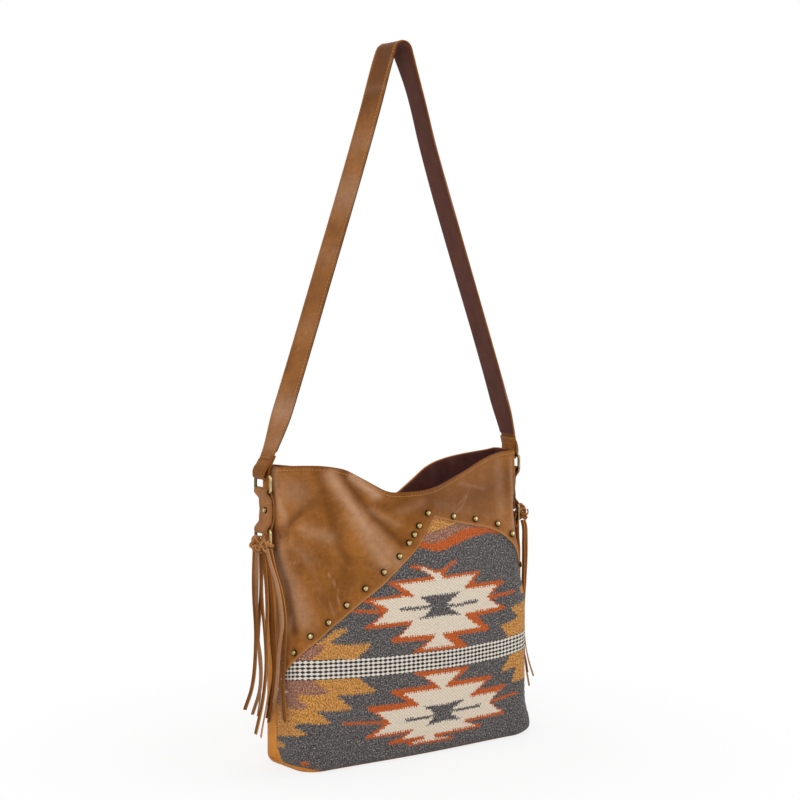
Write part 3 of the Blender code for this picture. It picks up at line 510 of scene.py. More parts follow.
# The pattern of the woven front.
# Fields of colour in millimetres: around the front from the left seam, and height. Later fields
# lie over earlier ones.
kilim = dict(
    step=1.0 * mm, under=6 * mm, lump=0.00016, flatEdge=4 * mm, settle=25 * mm, beat=0.035,
    teeth=0.8, comb=0.75, combPitch=3.4,  # how yarns step across the edge of a field, in mm
    # scales of the noises per mm of cloth, and the pitches of twill and ribs in mm
    heather=0.50, heatherStretch=(1.15, 0.85, 1.0), speck=0.62, speckPlace=(31.0, 17.0, 5.0),
    fibre=2.2, jitter=0.35, twillPitch=3.5, twillSlope=0.80, ribPitch=2.5,
    # how far each of them tints the yarn
    paleHairs=0.80, fleckShare=0.55, darkHairs=0.60, fibreShade=0.25, twillShade=(0.10, 0.50),
    deep=(0.30, 0.27, 0.26, 1.0), fleck=colour(214, 208, 200), bright=(0.26, 0.18, 0.07, 1.0),
    tuftDark=colour(50, 44, 42), tuftLight=colour(228, 220, 206), tuftWeights=(0.50, 0.62), relief=0.00035,
    yarns=dict(  # colour, how heathered it is, how much twill shows
        charcoal=(colour(92, 87, 87), 1.0, 0.0), orange=(colour(196, 86, 22), 0.50, 0.0),
        cream=(colour(238, 223, 202), 0.20, 1.0), mustard=(colour(208, 144, 70), 0.95, 0.25),
        mauve=(colour(160, 110, 94), 0.95, 0.20)),
    bandCentre=[(0, 106.5), (20, 110), (40, 113.5), (60, 114.5), (100, 111.7), (150, 108.7), (200, 107.2),
                (250, 106), (300, 107), (320, 108), (350, 112), (380, 116), (411, 118)],
    bandHalf=10.7, bandPitch=4.32, bandPhase=0.25, bendReach=70.0,
    columnPitch=[(0, 6.6), (120, 6.5), (240, 6.0), (320, 5.2), (411, 5.6)],
    fields=[
        # stripes under the yoke's point
        ("mustard", [(205, 249), (220, 250), (232, 251), (243, 253), (257, 256), (262, 262), (270, 280),
                     (205, 280)]),
        ("mauve", [(200, 241), (206.6, 240), (224.7, 237), (238.7, 239.4), (249, 242.3), (261, 246.4),
                   (272.5, 248.7), (284, 248), (302, 245), (302, 270), (280, 270), (257, 256), (243, 253),
                   (232, 251), (220, 250), (205, 249)]),
        ("orange", [(200, 242), (206.6, 240.5), (224.7, 237), (238.7, 239.4), (249, 242.3), (261, 246.4),
                    (272.5, 248.7), (284, 248), (302, 245), (320, 241), (320, 237), (303, 240.6),
                    (290, 239.4), (278, 237.7), (267, 235.3), (253, 231.8), (240, 228.3), (229, 227.7),
                    (215, 231.8), (204, 234.7), (196, 237)]),
        # upper motif
        ("orange", [(194, 215.5), (206, 215), (216, 211), (224, 207.5), (232, 206.8), (240, 210),
                    (248, 214.5), (254, 215.5), (254, 212.5), (246, 209.5), (239, 204.5), (234, 200.3),
                    (286.5, 199.5), (286.5, 196.8), (281, 193.5), (277, 189.5), (279.5, 186.5),
                    (322, 185.5), (322, 182.5), (313, 179.5), (306, 175), (300.5, 171), (338, 172.5),
                    (338, 169.8), (302, 166.5), (306, 163), (315, 158.5), (323, 156), (322, 153),
                    (300, 150.8), (279.5, 150), (288, 142), (297, 135), (297, 131), (247, 131.5),
                    (252, 128), (258, 123), (266, 117.5), (265, 115.5), (186, 118.5), (188, 121),
                    (200, 126), (210, 130.8), (157, 133.5), (156, 137.5), (170, 142), (180, 149),
                    (185, 150.5), (122, 152.5), (121.5, 155), (133, 158.5), (141, 163), (147, 167),
                    (107, 172.5), (107, 175.3), (145, 171.5), (141, 174), (134, 178.5), (123, 182.5),
                    (122.5, 185.5), (160, 184.8), (178.6, 186.2), (173, 190.5), (167, 195), (160.5, 198),
                    (161, 200.5), (218, 200.8), (214, 204.5), (205, 209.5), (194, 212.5)]),
        ("cream", [(204, 212.3), (211, 211), (218, 207.5), (224, 204.5), (230, 203.5), (232.5, 199),
                   (234, 196.3), (279.5, 196.3), (272, 191), (267, 186.5), (262, 183.3), (264, 181.8),
                   (312, 181.3), (306, 178), (300, 173.5), (296, 169), (300, 165), (308, 160), (315, 156.3),
                   (262, 154.8), (261, 152.5), (268, 147.5), (276, 141.5), (285, 136.5), (226, 135.8),
                   (224, 137), (221, 136), (167.5, 138.8), (176, 144), (182, 149), (187, 152.5),
                   (186, 154.8), (133, 156.5), (142, 161), (150, 166), (157, 170.5), (150, 175),
                   (143, 178), (134, 181.5), (180, 182.3), (191, 181), (192, 182.5), (186, 188),
                   (180, 192), (173, 196.3), (222, 196.3), (222, 199), (216, 203.5), (210, 208.5)]),
        ("cream", [(220, 138), (228, 138), (230, 131.5), (238, 126.5), (246, 120.5), (199, 121.8),
                   (207, 127), (216, 132)]),
        ("charcoal", [(198, 180), (257, 179.3), (250, 176), (242, 172), (236, 168.5), (250, 166),
                      (265, 168), (281, 168), (281, 164.6), (262, 164.4), (250, 163.4), (237, 165),
                      (240, 163), (248, 158.5), (257, 153.5), (240, 155.5), (228, 156), (215, 155.5),
                      (195, 155.8), (204, 159), (210, 162.5), (214, 166.6), (200, 166), (186, 166.5),
                      (172, 167.4), (172, 170.8), (186, 170.2), (200, 169.3), (213, 169.8), (206, 175.5)]),
        # lower motif
        ("orange", [(188, 97.5), (228, 95), (268, 93.5), (267, 91), (258, 86.5), (250, 82), (244, 79.3),
                    (302, 78.5), (302, 75.5), (292, 71), (285, 66.5), (281, 64), (323, 65.5), (323, 62.5),
                    (313, 58), (305, 52), (300.5, 49.5), (342.5, 54.3), (342.5, 51.5), (301, 46),
                    (305, 43), (313, 37.5), (322, 33.5), (321.5, 30.5), (262, 29.5), (272, 26.5),
                    (285, 24), (285, 20.8), (218, 19.8), (230, 18), (243, 16), (243, 13.2), (210, 13.6),
                    (178, 14.6), (178, 18.8), (202, 19.8), (153, 19.5), (153.5, 22.5), (168, 25.5),
                    (182, 29.3), (122, 30), (122, 33), (132, 36), (143, 41), (147, 44), (92, 50.2),
                    (92, 53), (148, 47.2), (140, 54), (133, 58), (125, 62.5), (125, 66), (172, 64.2),
                    (179, 63.8), (176, 67), (166, 72), (156, 77), (156, 80), (214, 79.8), (206, 86),
                    (198, 91), (188, 95)]),
        ("cream", [(172, 74.5), (226.5, 73.8), (228.7, 76), (231, 73.8), (292, 73), (284, 68), (275, 63),
                   (268, 59), (270, 57.8), (311, 57.8), (304, 52), (298, 47.2), (303, 43), (310, 38),
                   (317, 34), (262, 32.8), (259, 30.5), (268, 27), (279, 23.6), (216.5, 22.9), (216, 17.8),
                   (236, 16.8), (236, 15.9), (184, 16.5), (186, 18.2), (202, 18.6), (202, 22.9),
                   (171, 23.1), (179, 27.5), (187, 31), (184, 32.6), (132, 32.6), (141, 36.5), (149, 40.5),
                   (156, 43.5), (150, 48.5), (144, 53), (137, 57.8), (193, 57.8), (195.5, 59.2),
                   (188, 65), (180, 70)]),
        ("cream", [(201, 90.5), (256, 90), (246, 84.5), (238, 79.5), (230, 73), (227, 73), (220, 79),
                   (211, 84.5)]),
        ("charcoal", [(200, 56), (230, 54.6), (262, 57), (252, 52), (244, 48.5), (240, 46.6), (285, 47.2),
                      (285, 43.9), (262, 43.8), (241, 44.4), (241, 42), (248, 38), (256, 34), (230, 36),
                      (204, 33.5), (211, 38), (217, 42.5), (195, 41.8), (175, 42.2), (175, 45.4),
                      (195, 45), (217, 44.9), (212, 50), (206, 53)]),
        # steps at the left
        ("mustard", [(67, 147), (75, 151.5), (84, 156.3), (99.7, 156), (99.7, 153.6), (90, 149.5),
                     (82, 145.5), (76.3, 142.5), (84, 140.5), (100, 137.5), (129, 136.5), (130, 133.8),
                     (124, 129.5), (116, 125.5), (110, 118), (30, 118), (52, 127), (57, 132), (62, 136),
                     (60, 143)]),
        ("mauve", [(25, 118), (30, 122), (45, 133), (57, 142), (62, 142), (69, 140.5), (67, 137),
                   (64, 134), (60, 130), (55, 127), (52, 125), (50, 118)]),
        ("mustard", [(0, 110), (112, 104), (112, 101), (118, 96), (126, 89.5), (135, 84), (135, 81.3),
                     (112, 82), (97, 82.8), (84.5, 84), (90, 79.5), (97, 73.5), (104, 68), (103.8, 65.8),
                     (84, 66.5), (60, 69.5), (66, 64), (72, 59), (76.5, 55.5), (76, 53.8), (62, 55),
                     (50, 56), (40, 55), (31, 50.5), (40, 48), (48, 45.5), (48, 43.8), (40, 41),
                     (22, 38.3), (0, 34.5)]),
        ("mauve", [(0, 108), (56, 108), (57, 104.5), (60, 99.5), (66, 95), (72, 91.5), (76, 89.5),
                   (70, 87.5), (60, 86.8), (40, 87), (39, 84), (40, 80.5), (45, 78.5), (51, 75),
                   (46, 71.5), (38, 70), (0, 70)]),
        ("mustard", [(-2, 32), (6, 29), (17, 27), (13, 23.5), (-2, 22)]),
        ("cream", [(14, 86.5), (22, 89), (21, 86.5), (15, 84.5)]),
        ("cream", [(2, 86), (7, 92.5), (8, 86)]),
        ("orange", [(40, 13), (51, 13.5), (52, 10), (45, 9)]),
        ("mauve", [(52, 6), (62, 6), (62, 3), (52, 3)]),
        # steps at the right
        ("mustard", [(332, 153.5), (345, 157), (365, 160), (411, 165), (411, 118), (327, 118), (322, 127),
                     (316, 132), (316, 134.5), (330, 137.5), (343, 141.5), (338, 146), (332, 150.5)]),
        ("mustard", [(346, 173), (356, 176), (380, 180), (411, 182), (411, 172), (380, 168), (352, 167)]),
        ("mustard", [(336, 106), (330, 97), (324, 90), (317, 83), (317, 80), (339, 83.5), (336, 75),
                     (332.5, 69), (332.5, 66), (350, 67), (375, 66), (362, 57), (362, 54), (380, 54),
                     (411, 50), (411, 106)]),
        ("mauve", [(362, 106), (411, 106), (411, 72), (376, 72), (368, 76), (378, 82), (374, 88),
                   (352, 90), (358, 96)])])


# Finishes of the leathers, the brass and the cloths.
grain = dict(
    scratchScale=95.0, scratchStretch=(1.0, 1.0, 0.16), veinScale=58.0, veinStretch=(0.8, 0.8, 1.3),
    wrinkleWidth=0.045, poreWidth=0.22,
    # how far each layer tints the leather
    cloudShare=0.6, paleFlecks=0.10, darkFlecks=0.20, wrinkles=0.18, scratches=0.10, pores=0.16,
    # depths of the bumps in metres, with their strengths
    poreBump=(0.00010, 0.55), wrinkleBump=(0.00016, 0.5), cloudBump=(0.0016, 0.4),
    coat=0.06)
leatherLooks = dict(
    tan=dict(base=colour(168, 106, 44), dark=colour(94, 50, 8), pale=colour(214, 172, 140),
             cloud=22.0, fleck=160.0, grain=1150.0, roughness=0.42, edge=colour(196, 138, 84)),
    golden=dict(base=colour(226, 150, 60), dark=colour(160, 92, 24), pale=colour(214, 158, 92),
                cloud=26.0, fleck=180.0, grain=1250.0, roughness=0.52, edge=colour(206, 150, 92)))


def makeLeather(name, look):
    f = Finish(name, Specular_IOR_Level=0.10, Coat_Roughness=0.30)
    cloud = f.noise(look["cloud"], 5.0, 0.62)
    fleck = f.noise(look["fleck"], 4.0, 0.65)
    scratch = f.noise(grain["scratchScale"], 3.0, 0.7, f.stretched(grain["scratchStretch"]))
    vein = f.noise(grain["veinScale"], 5.0, 0.72, f.stretched(grain["veinStretch"]))
    cells = f.node("TexVoronoi", {"feature": "DISTANCE_TO_EDGE"},
                   {"Vector": f.here(), "Scale": look["grain"], "Randomness": 0.9}, "Distance")
    pores = f.spread(cells, 0.0, grain["poreWidth"])
    # fine wrinkles run where the noise crosses its middle
    smoothHide = f.spread(abs(vein - 0.5), 0.0, grain["wrinkleWidth"])
    clouded = f.spread(cloud, 0.28, 0.62) * grain["cloudShare"] + (1 - grain["cloudShare"])
    shade = f.blend(clouded, look["dark"], look["base"])
    layers = (
        (f.spread(fleck, 0.50, 0.80) * grain["paleFlecks"], "pale"),
        (f.spread(fleck, 0.52, 0.30) * grain["darkFlecks"], "dark"),
        (f.painted("dark"), "dark"), (f.painted("pale"), "pale"),
        ((1 - smoothHide) * grain["wrinkles"], "dark"),
        (f.spread(scratch, 0.66, 0.74) * grain["scratches"], "pale"),
        ((1 - pores) * grain["pores"], "dark"), (f.painted("edge"), "edge"))
    for share, tone in layers:
        shade = f.blend(share, shade, look[tone])
    rough = look["roughness"] + 0.22 * (fleck - 0.5) + 0.10 * (1 - pores) - 0.10 * f.painted("pale")
    relief = f.bump(pores + 0.5 * fleck, *grain["poreBump"])
    relief = f.bump(smoothHide, *grain["wrinkleBump"], relief)
    return f.wear(Base_Color=shade, Roughness=rough, Normal=f.bump(cloud, *grain["cloudBump"], relief),
                  Coat_Weight=f.spread(cloud, 0.35, 0.7) * grain["coat"])


def makeWool():
    # Reads the yarn's colour for each cell, and places round and up the front in millimetres.
    k = kilim
    f = Finish("kilimWool", Specular_IOR_Level=0.10, Sheen_Weight=0.10, Sheen_Roughness=0.6)
    u, v = f.painted("around"), f.painted("height")
    where = f.node("CombineXYZ", {}, {"X": u, "Y": v})
    stretched = f.node("Mapping", {}, {"Vector": where, "Scale": k["heatherStretch"]})
    heather = f.noise(k["heather"], 3.0, 0.75, stretched)
    fibre = f.noise(k["fibre"], 3.0, 0.7, where)
    shifted = f.node("Mapping", {}, {"Vector": where, "Location": k["speckPlace"]})
    spot = f.noise(k["speck"], 2.0, 0.6, shifted)
    heathered = f.painted("heathered")
    twill = ((u * k["twillSlope"] + v) * (2 * math.pi / k["twillPitch"])).sine()
    twill = f.spread(twill, 0.35, 1.0) * f.painted("twill")
    ribs = (u * (2 * math.pi / k["ribPitch"])).sine()
    yarn = f.painted("yarn", "Color")
    deep = f.blend(1.0, yarn, k["deep"], "MULTIPLY")
    shade = f.blend(f.spread(heather, 0.54, 0.42) * heathered, yarn, deep)
    speckled = (heathered * 20.0 - 19.0).clipped()  # only the charcoal yarn has pale hairs in it
    hairs = f.spread(spot, 0.54, 0.66) * speckled * k["paleHairs"]
    shade = f.blend(hairs, shade, f.blend(k["fleckShare"], yarn, k["fleck"]))
    glints = f.spread(spot, 0.52, 0.62) * (1 - speckled) * heathered
    shade = f.blend(glints, shade, f.blend(1.0, yarn, k["bright"], "ADD"))
    shade = f.blend(f.spread(spot, 0.42, 0.28) * heathered * k["darkHairs"], shade, deep)
    shade = f.blend(f.spread(fibre, 0.45, 0.75) * k["fibreShade"], shade, deep)
    shade = f.blend(twill * (k["twillShade"][0] + k["twillShade"][1] * fibre), shade, deep)
    # rows and columns of light tufts on the checked band
    columns = (f.painted("bandColumn") * (2 * math.pi)).sine()
    rows = (f.painted("bandRow") * (2 * math.pi)).sine()
    tuft = columns * k["tuftWeights"][0] + rows * k["tuftWeights"][1]
    jitter = f.noise(k["jitter"], 2.0, 0.6, where)
    check = f.blend(f.spread(tuft + (jitter - 0.5) * 0.9, -0.28, 0.22), k["tuftDark"], k["tuftLight"])
    shade = f.blend(f.painted("checked"), shade, check)
    height = fibre + ribs * 0.35 + twill * 0.5 + heather * 0.6 + tuft * 0.8 * f.painted("checked")
    return f.wear(Base_Color=shade, Roughness=0.86 + 0.12 * fibre, Normal=f.bump(height, k["relief"], 0.9))


cloth = dict(
    cloudScale=40.0, wrinkleScale=16.0, wrinkleStretch=(1.0, 1.0, 0.45),
    threadScale=1500.0, threadStretch=(1.0, 1.0, 0.5), threadShare=0.25)
clothLooks = dict(  # with the depths of their threads and wrinkles in metres
    lining=dict(base=colour(66, 36, 34), pale=colour(94, 56, 50), threads=0.00025, wrinkles=0.012,
                roughness=0.75),
    backing=dict(base=colour(80, 45, 38), pale=colour(98, 60, 50), threads=0.00012, wrinkles=0.001,
                 roughness=0.6))


def makeCloth(name, look):
    # A fine cloth or a suede side, with threads and slow wrinkles.
    f = Finish(name, Specular_IOR_Level=0.06)
    cloud = f.noise(cloth["cloudScale"], 4.0, 0.6)
    wrinkle = f.noise(cloth["wrinkleScale"], 3.0, 0.55, f.stretched(cloth["wrinkleStretch"]))
    threads = f.noise(cloth["threadScale"], 2.0, 0.6, f.stretched(cloth["threadStretch"]))
    shade = f.blend(f.spread(cloud, 0.3, 0.7), look["base"], look["pale"])
    shade = f.blend(f.spread(threads, 0.4, 0.7) * cloth["threadShare"], shade, look["pale"])
    return f.wear(
        Base_Color=shade, Roughness=look["roughness"] + 0.1 * (cloud - 0.5),
        Normal=f.bump(wrinkle, look["wrinkles"], 0.8, f.bump(threads + cloud, look["threads"], 0.6)))


# the dark that the painted 'dark' leads to: tarnish and painted shade on the rings, patina and painted dark
# reflection on the rivets
brass = dict(bright=colour(222, 196, 140), old=colour(160, 128, 74), grimeAndShade=colour(44, 26, 8),
             polish=0.15, patinaScale=420.0, wearScale=1400.0)


def makeBrass():
    f = Finish("antiqueBrass", Specular_IOR_Level=0.5)
    patina = f.noise(brass["patinaScale"], 4.0, 0.65)
    wearAndSheen = f.noise(brass["wearScale"], 3.0, 0.6)
    old = f.spread(patina, 0.42, 0.68)
    # painted 'dark': tarnish and painted shade on the rings, patina and painted dark reflection on the rivets
    shade = f.blend(f.painted("dark"), f.blend(old, brass["bright"], brass["old"]), brass["grimeAndShade"])
    rough = brass["polish"] + 0.20 * old + 0.10 * (wearAndSheen - 0.5)
    return f.wear(Base_Color=shade, Metallic=1 - 0.25 * old, Roughness=rough,
                  Normal=f.bump(wearAndSheen + patina, 0.00006, 0.4))


threadLook = dict(pale=colour(206, 150, 92), dark=colour(172, 114, 60), twistScale=1800.0, depth=0.0001)


def makeThread():
    f = Finish("tanThread", Specular_IOR_Level=0.3, Sheen_Weight=0.1)
    twist = f.noise(threadLook["twistScale"], 2.0, 0.5)
    return f.wear(Base_Color=f.blend(twist, threadLook["pale"], threadLook["dark"]),
                  Roughness=0.6 + 0.3 * twist, Normal=f.bump(twist, threadLook["depth"], 0.6))


tanLeather = makeLeather("tanLeather", leatherLooks["tan"])
goldenLeather = makeLeather("goldenLeather", leatherLooks["golden"])
kilimWool = makeWool()
liningCloth = makeCloth("liningCloth", clothLooks["lining"])
backingLeather = makeCloth("backingLeather", clothLooks["backing"])
antiqueBrass = makeBrass()
tanThread = makeThread()
print("finishes made")


# The woven front, one small face for each knot of yarn.
def inField(field, u, v):
    # True where a place is inside the outline.
    inside = np.zeros(u.shape, bool)
    for (u0, v0), (u1, v1) in zip(field, field[1:] + field[:1]):
        if v0 != v1:
            inside ^= ((v0 > v) != (v1 > v)) & (u < (u1 - u0) * (v - v0) / (v1 - v0) + u0)
    return inside


def weaveColours(u, v, row):
    # The yarn of each woven cell, by its name's place in the list of yarns.
    names = list(kilim["yarns"])
    found = np.zeros(u.shape, int)
    tooth = kilim["teeth"] * np.where(row // 2 % 2 == 0, 1.0, -1.0)
    comb = kilim["comb"] * np.where(u % kilim["combPitch"] < kilim["combPitch"] / 2, 1.0, -1.0)
    for name, field in kilim["fields"]:
        found[inField(field, u + tooth, v + comb)] = names.index(name)
    return found


def buildWool():
    step = kilim["step"]
    wayList = waysBy(step, 0.0, 5.0)
    u = around(wayList)
    low = upBaseSeam(wayList) + bag["gap"] / 2
    top = upYokeEdge(wayList) + kilim["under"]
    rows = np.arange(bag["baseSeamFront"] + bag["gap"] / 2, top.max() + step, step)
    # Rows follow the checked band, and rise at the sides where the base turns up.
    middle = readCurve(kilim["bandCentre"], u)
    bend = (middle - middle.mean()) * mm
    fade = smooth(1 - abs(heightOf(rows) / mm - middle.mean()) / kilim["bendReach"])
    lift = (low[:, None] - rows[0]) * (1 - np.clip((rows - rows[0]) / kilim["settle"], 0, 1))
    up = rows + bend[:, None] * fade + lift
    rng = np.random.default_rng(4)
    lump = rng.normal(0, 1, up.shape)
    lump = sum(np.roll(lump, (a, b), (0, 1)) for a in (-1, 0, 1) for b in (-1, 0, 1)) / 3 * kilim["lump"]
    points = onWall(wayList[:, None], up, lump * smooth((up - low[:, None]) / kilim["flatEdge"]))
    points = seamShift(points)
    keep = up <= top[:, None]
    count, along = up.shape
    i, j = np.meshgrid(np.arange(count - 1), np.arange(along - 1), indexing="ij")
    shown = keep[i, j] & keep[i + 1, j]
    i, j = i[shown], j[shown]
    corner = i * along + j
    quads = np.stack([corner, corner + along, corner + along + 1, corner + 1], -1)
    # The bottom and side edges turn in by the cloth's thickness.
    turnedIn = onWall(wayList, low, -bag["wool"])
    sideEdges = [onWall(wayList[c], up[c], -bag["wool"]) for c in (0, -1)]
    base = count * along
    edge = [(base + k, base + k + 1, (k + 1) * along, k * along) for k in range(count - 1)]
    for start, column, held in ((base + count, 0, keep[0]), (base + count + along, count - 1, keep[-1])):
        for k in np.flatnonzero(held[:-1]).tolist():
            quad = (start + k, column * along + k, column * along + k + 1, start + k + 1)
            edge.append(quad if column == 0 else quad[::-1])
    faces = [tuple(q) for q in quads.tolist()] + edge
    used = np.unique(np.concatenate([np.asarray(f) for f in faces]))
    order = np.full(base + count + 2 * along, -1)
    order[used] = np.arange(len(used))
    everything = np.concatenate([points.reshape(-1, 3), turnedIn, *sideEdges])[used]
    faces = [tuple(order[list(f)].tolist()) for f in faces]
    item = addPiece("kilimFront", everything, faces, kilimWool, "bag", ["front_wool"], None)
    cellU = (u[i] + u[i + 1]) / 2
    cellV = heightOf((up[i, j] + up[i + 1, j + 1]) / 2) / mm
    dyeCells(item, weaveColours(cellU, cellV, j), cellU, cellV, len(edge), rng)
    heights = heightOf(np.concatenate([up.ravel(), low, up[0], up[-1]])) / mm
    places = np.concatenate([np.repeat(u, along), u, np.full(along, u[0]), np.full(along, u[-1])])
    markPlaces(item, places[used], heights[used], u[-1])


def dyeCells(item, yarn, u, v, edgeCount, rng):
    # Each face's yarn, a little lighter or darker from one beat of the loom to the next.
    tones = list(kilim["yarns"].values())
    plain = np.zeros(edgeCount, int)
    yarn = np.concatenate([yarn, plain])
    shades = np.array([t[0] for t in tones])[yarn]
    shades[:, :3] *= 1 + rng.normal(0, kilim["beat"], (len(yarn), 1))
    paint(item, "yarn", shades, "FLOAT_COLOR", "FACE")
    paint(item, "heathered", np.array([t[1] for t in tones])[yarn], domain="FACE")
    paint(item, "twill", np.array([t[2] for t in tones])[yarn], domain="FACE")
    checked = abs(v - readCurve(kilim["bandCentre"], u)) < kilim["bandHalf"]
    paint(item, "checked", np.concatenate([checked, plain]), domain="FACE")


def markPlaces(item, u, v, end):
    # Places on the cloth, and the columns and rows of the checked band.
    fine = np.linspace(0, end, 800)
    columns = np.concatenate([[0], np.cumsum(np.diff(fine) / readCurve(kilim["columnPitch"], fine[1:]))])
    rows = (v - readCurve(kilim["bandCentre"], u)) / kilim["bandPitch"] + kilim["bandPhase"]
    paint(item, "around", u)
    paint(item, "height", v)
    paint(item, "bandColumn", np.interp(u, fine, columns))
    paint(item, "bandRow", rows)


buildWool()
print("woven front made")


# The leather yoke and its row of rivets.
rivet = dict(
    # the last two are the half width in mm and the darkness of a painted shadow on the leather round each
    # rivet's seat
    radius=0.0039, height=0.0027, sides=28, seat=0.05 * mm, grimeAndShade=4.8, seatShadowDark=0.80,
    # radius and height, as shares, and how dark the brass is at each of these rings: dark patina at the rim
    # and painted dark reflection over the lower dome, leaving a pale top as a painted highlight
    profile=[(1.0, -0.10), (1.0, 0.10), (0.965, 0.20), (0.90, 0.22), (0.88, 0.30), (0.80, 0.52),
             (0.66, 0.75), (0.48, 0.90), (0.25, 0.98), (0.0, 1.0)],
    dark=[1.0, 1.0, 1.0, 1.0, 1.0, 0.92, 0.72, 0.38, 0.10, 0.0],
    # mm round the front, and height in mm
    places=[(17.4, 118.7), (35.5, 132.6), (53.8, 151.9), (74.7, 165.0), (101.4, 180.9), (128.1, 196.6),
            (157.5, 211.8), (181.5, 226.9), (195.1, 240.6), (201.5, 249.2), (207.4, 258.6), (217.8, 271.7),
            (251.5, 264.1), (283.0, 257.5), (315.1, 248.6), (335.6, 235.2), (365.5, 198.3)])
yoke = dict(
    step=2.1 * mm, rowCount=84, rowEase=1.15,
    # the cut lower edge and its lip, the burnished rim, and a painted shadow line just below the rim's
    # stitches: amount, place, width in mm
    cutPale=0.8, cutReach=3.0, lip=(0.55, 0.0, 1.5), rim=(0.75, -0.4, 1.1), stitchShadow=(0.45, 5.1, 0.9),
    # soft strokes in mm: route, half width, amount. Most pale strokes are painted sheen and light on the
    # folds; the thinnest ones are scratches
    pale=[
        ([(119, 322), (124, 309), (132, 293), (142, 274), (152, 256)], 6.0, 0.54),
        ([(140, 275), (148, 256), (156, 238), (164, 222)], 10.0, 0.40),
        ([(156, 256), (166, 238), (178, 222)], 9.0, 0.34),
        ([(141, 318), (152, 307), (164, 296)], 5.0, 0.60), ([(156, 280), (168, 272), (184, 262)], 4.0, 0.20),
        ([(30, 322), (36, 300), (50, 286)], 16.0, 0.36), ([(62, 308), (84, 304)], 15.0, 0.24),
        ([(32, 250), (30, 225), (40, 196), (46, 172)], 13.0, 0.34), ([(86, 264), (108, 254)], 8.0, 0.26),
        ([(60, 250), (74, 236)], 10.0, 0.14), ([(30, 170), (24, 156)], 5.0, 0.18),
        ([(92, 216), (96, 198), (93, 176)], 0.8, 0.34), ([(85, 196), (84, 172)], 0.7, 0.26),
        ([(60, 232), (44, 229)], 1.0, 0.26), ([(188, 276), (212, 284)], 5.0, 0.14),
        ([(265, 300), (300, 290)], 2.0, 0.14), ([(322, 318), (324, 262)], 7.0, 0.16),
        ([(340, 320), (341, 245)], 4.0, 0.30), ([(257, 268), (267, 273), (276, 286)], 0.7, 0.26),
        ([(261, 276), (269, 281), (280, 293)], 0.6, 0.22), ([(322, 270), (325, 265)], 1.2, 0.30)],
    # painted shade in the folds and creases, and painted shadow of the tab and tassel along the left edge
    dark=[
        ([(107, 330), (112, 305), (115, 281), (116, 259), (117, 242), (119, 226)], 7.5, 0.58),
        ([(90, 320), (94, 290), (100, 270)], 10.0, 0.26), ([(112, 224), (100, 205), (80, 190)], 16.0, 0.34),
        ([(130, 322), (141, 302), (152, 284), (165, 266), (178, 252), (190, 240)], 6.0, 0.74),
        ([(176, 262), (186, 248)], 9.0, 0.36),
        ([(24, 262), (48, 267), (72, 276), (98, 289), (108, 298)], 6.5, 0.50),
        ([(22, 256), (42, 258), (60, 263)], 2.0, 0.66),
        ([(22, 248), (45, 252), (56, 257)], 1.6, 0.40), ([(60, 263), (80, 262)], 2.4, 0.30),
        ([(12, 320), (14, 270)], 5.0, 0.75),
        ([(14, 262), (20, 235), (24, 205), (30, 180), (34, 156)], 6.5, 0.95),
        ([(84, 206), (90, 172)], 7.0, 0.16), ([(196, 290), (260, 278), (330, 296)], 24.0, 0.60),
        ([(164, 286), (176, 282)], 7.0, 0.55),
        ([(196, 264), (206, 276)], 8.0, 0.30), ([(16, 160), (18, 112)], 8.0, 0.62),
        ([(80, 300), (82, 332)], 6.0, 0.20), ([(216, 262), (245, 262)], 6.0, 0.26)])


def strokes(listed, u, v):
    # Soft strokes laid over each other, the strongest one showing.
    amount = np.zeros(u.shape)
    for route, width, strength in listed:
        amount = np.maximum(amount, strength * bell(lineDistance(route, u, v), 0.0, width))
    return amount


def buildYoke():
    wayList = waysBy(yoke["step"], 0.0, 5.0)
    r = bag["yoke"] / 2
    low, high = upYokeEdge(wayList)[:, None] + r, upAt(rimHeight(wayList))[:, None] - r
    rows = mix(low, high, np.linspace(0, 1, yoke["rowCount"]) ** yoke["rowEase"])
    outer = yokeOff(wayList[:, None], rows)
    up, off, points = panelLoop(wayList, rows, outer, bag["yoke"])
    faces = panelFaces(len(wayList), yoke["rowCount"])
    item = addPiece("yoke", seamShift(points), faces, tanLeather, "bag", ["front_yoke"])
    u, v = np.broadcast_to(around(wayList)[:, None], up.shape), heightOf(up) / mm
    fromEdge, fromRim = (up - low) / mm, (high - up) / mm
    cut = (off < yokeOff(wayList[:, None], up) - 0.2 * mm) & (fromEdge < yoke["cutReach"])
    lip, rim, stitchShadow = (amount * bell(distance, place, width) for distance, (amount, place, width)
                        in ((fromEdge, yoke["lip"]), (fromRim, yoke["rim"]), (fromRim, yoke["stitchShadow"])))
    # a painted shadow round each rivet's seat
    seatShadows = [([(a - 0.5, b), (a + 0.5, b)], rivet["grimeAndShade"], rivet["seatShadowDark"]) for a, b in rivet["places"]]
    paint(item, "edge", np.maximum(yoke["cutPale"] * cut, lip))
    paint(item, "pale", strokes(yoke["pale"], u, v))
    paint(item, "dark", np.maximum.reduce([strokes(yoke["dark"] + seatShadows, u, v), rim, stitchShadow]))


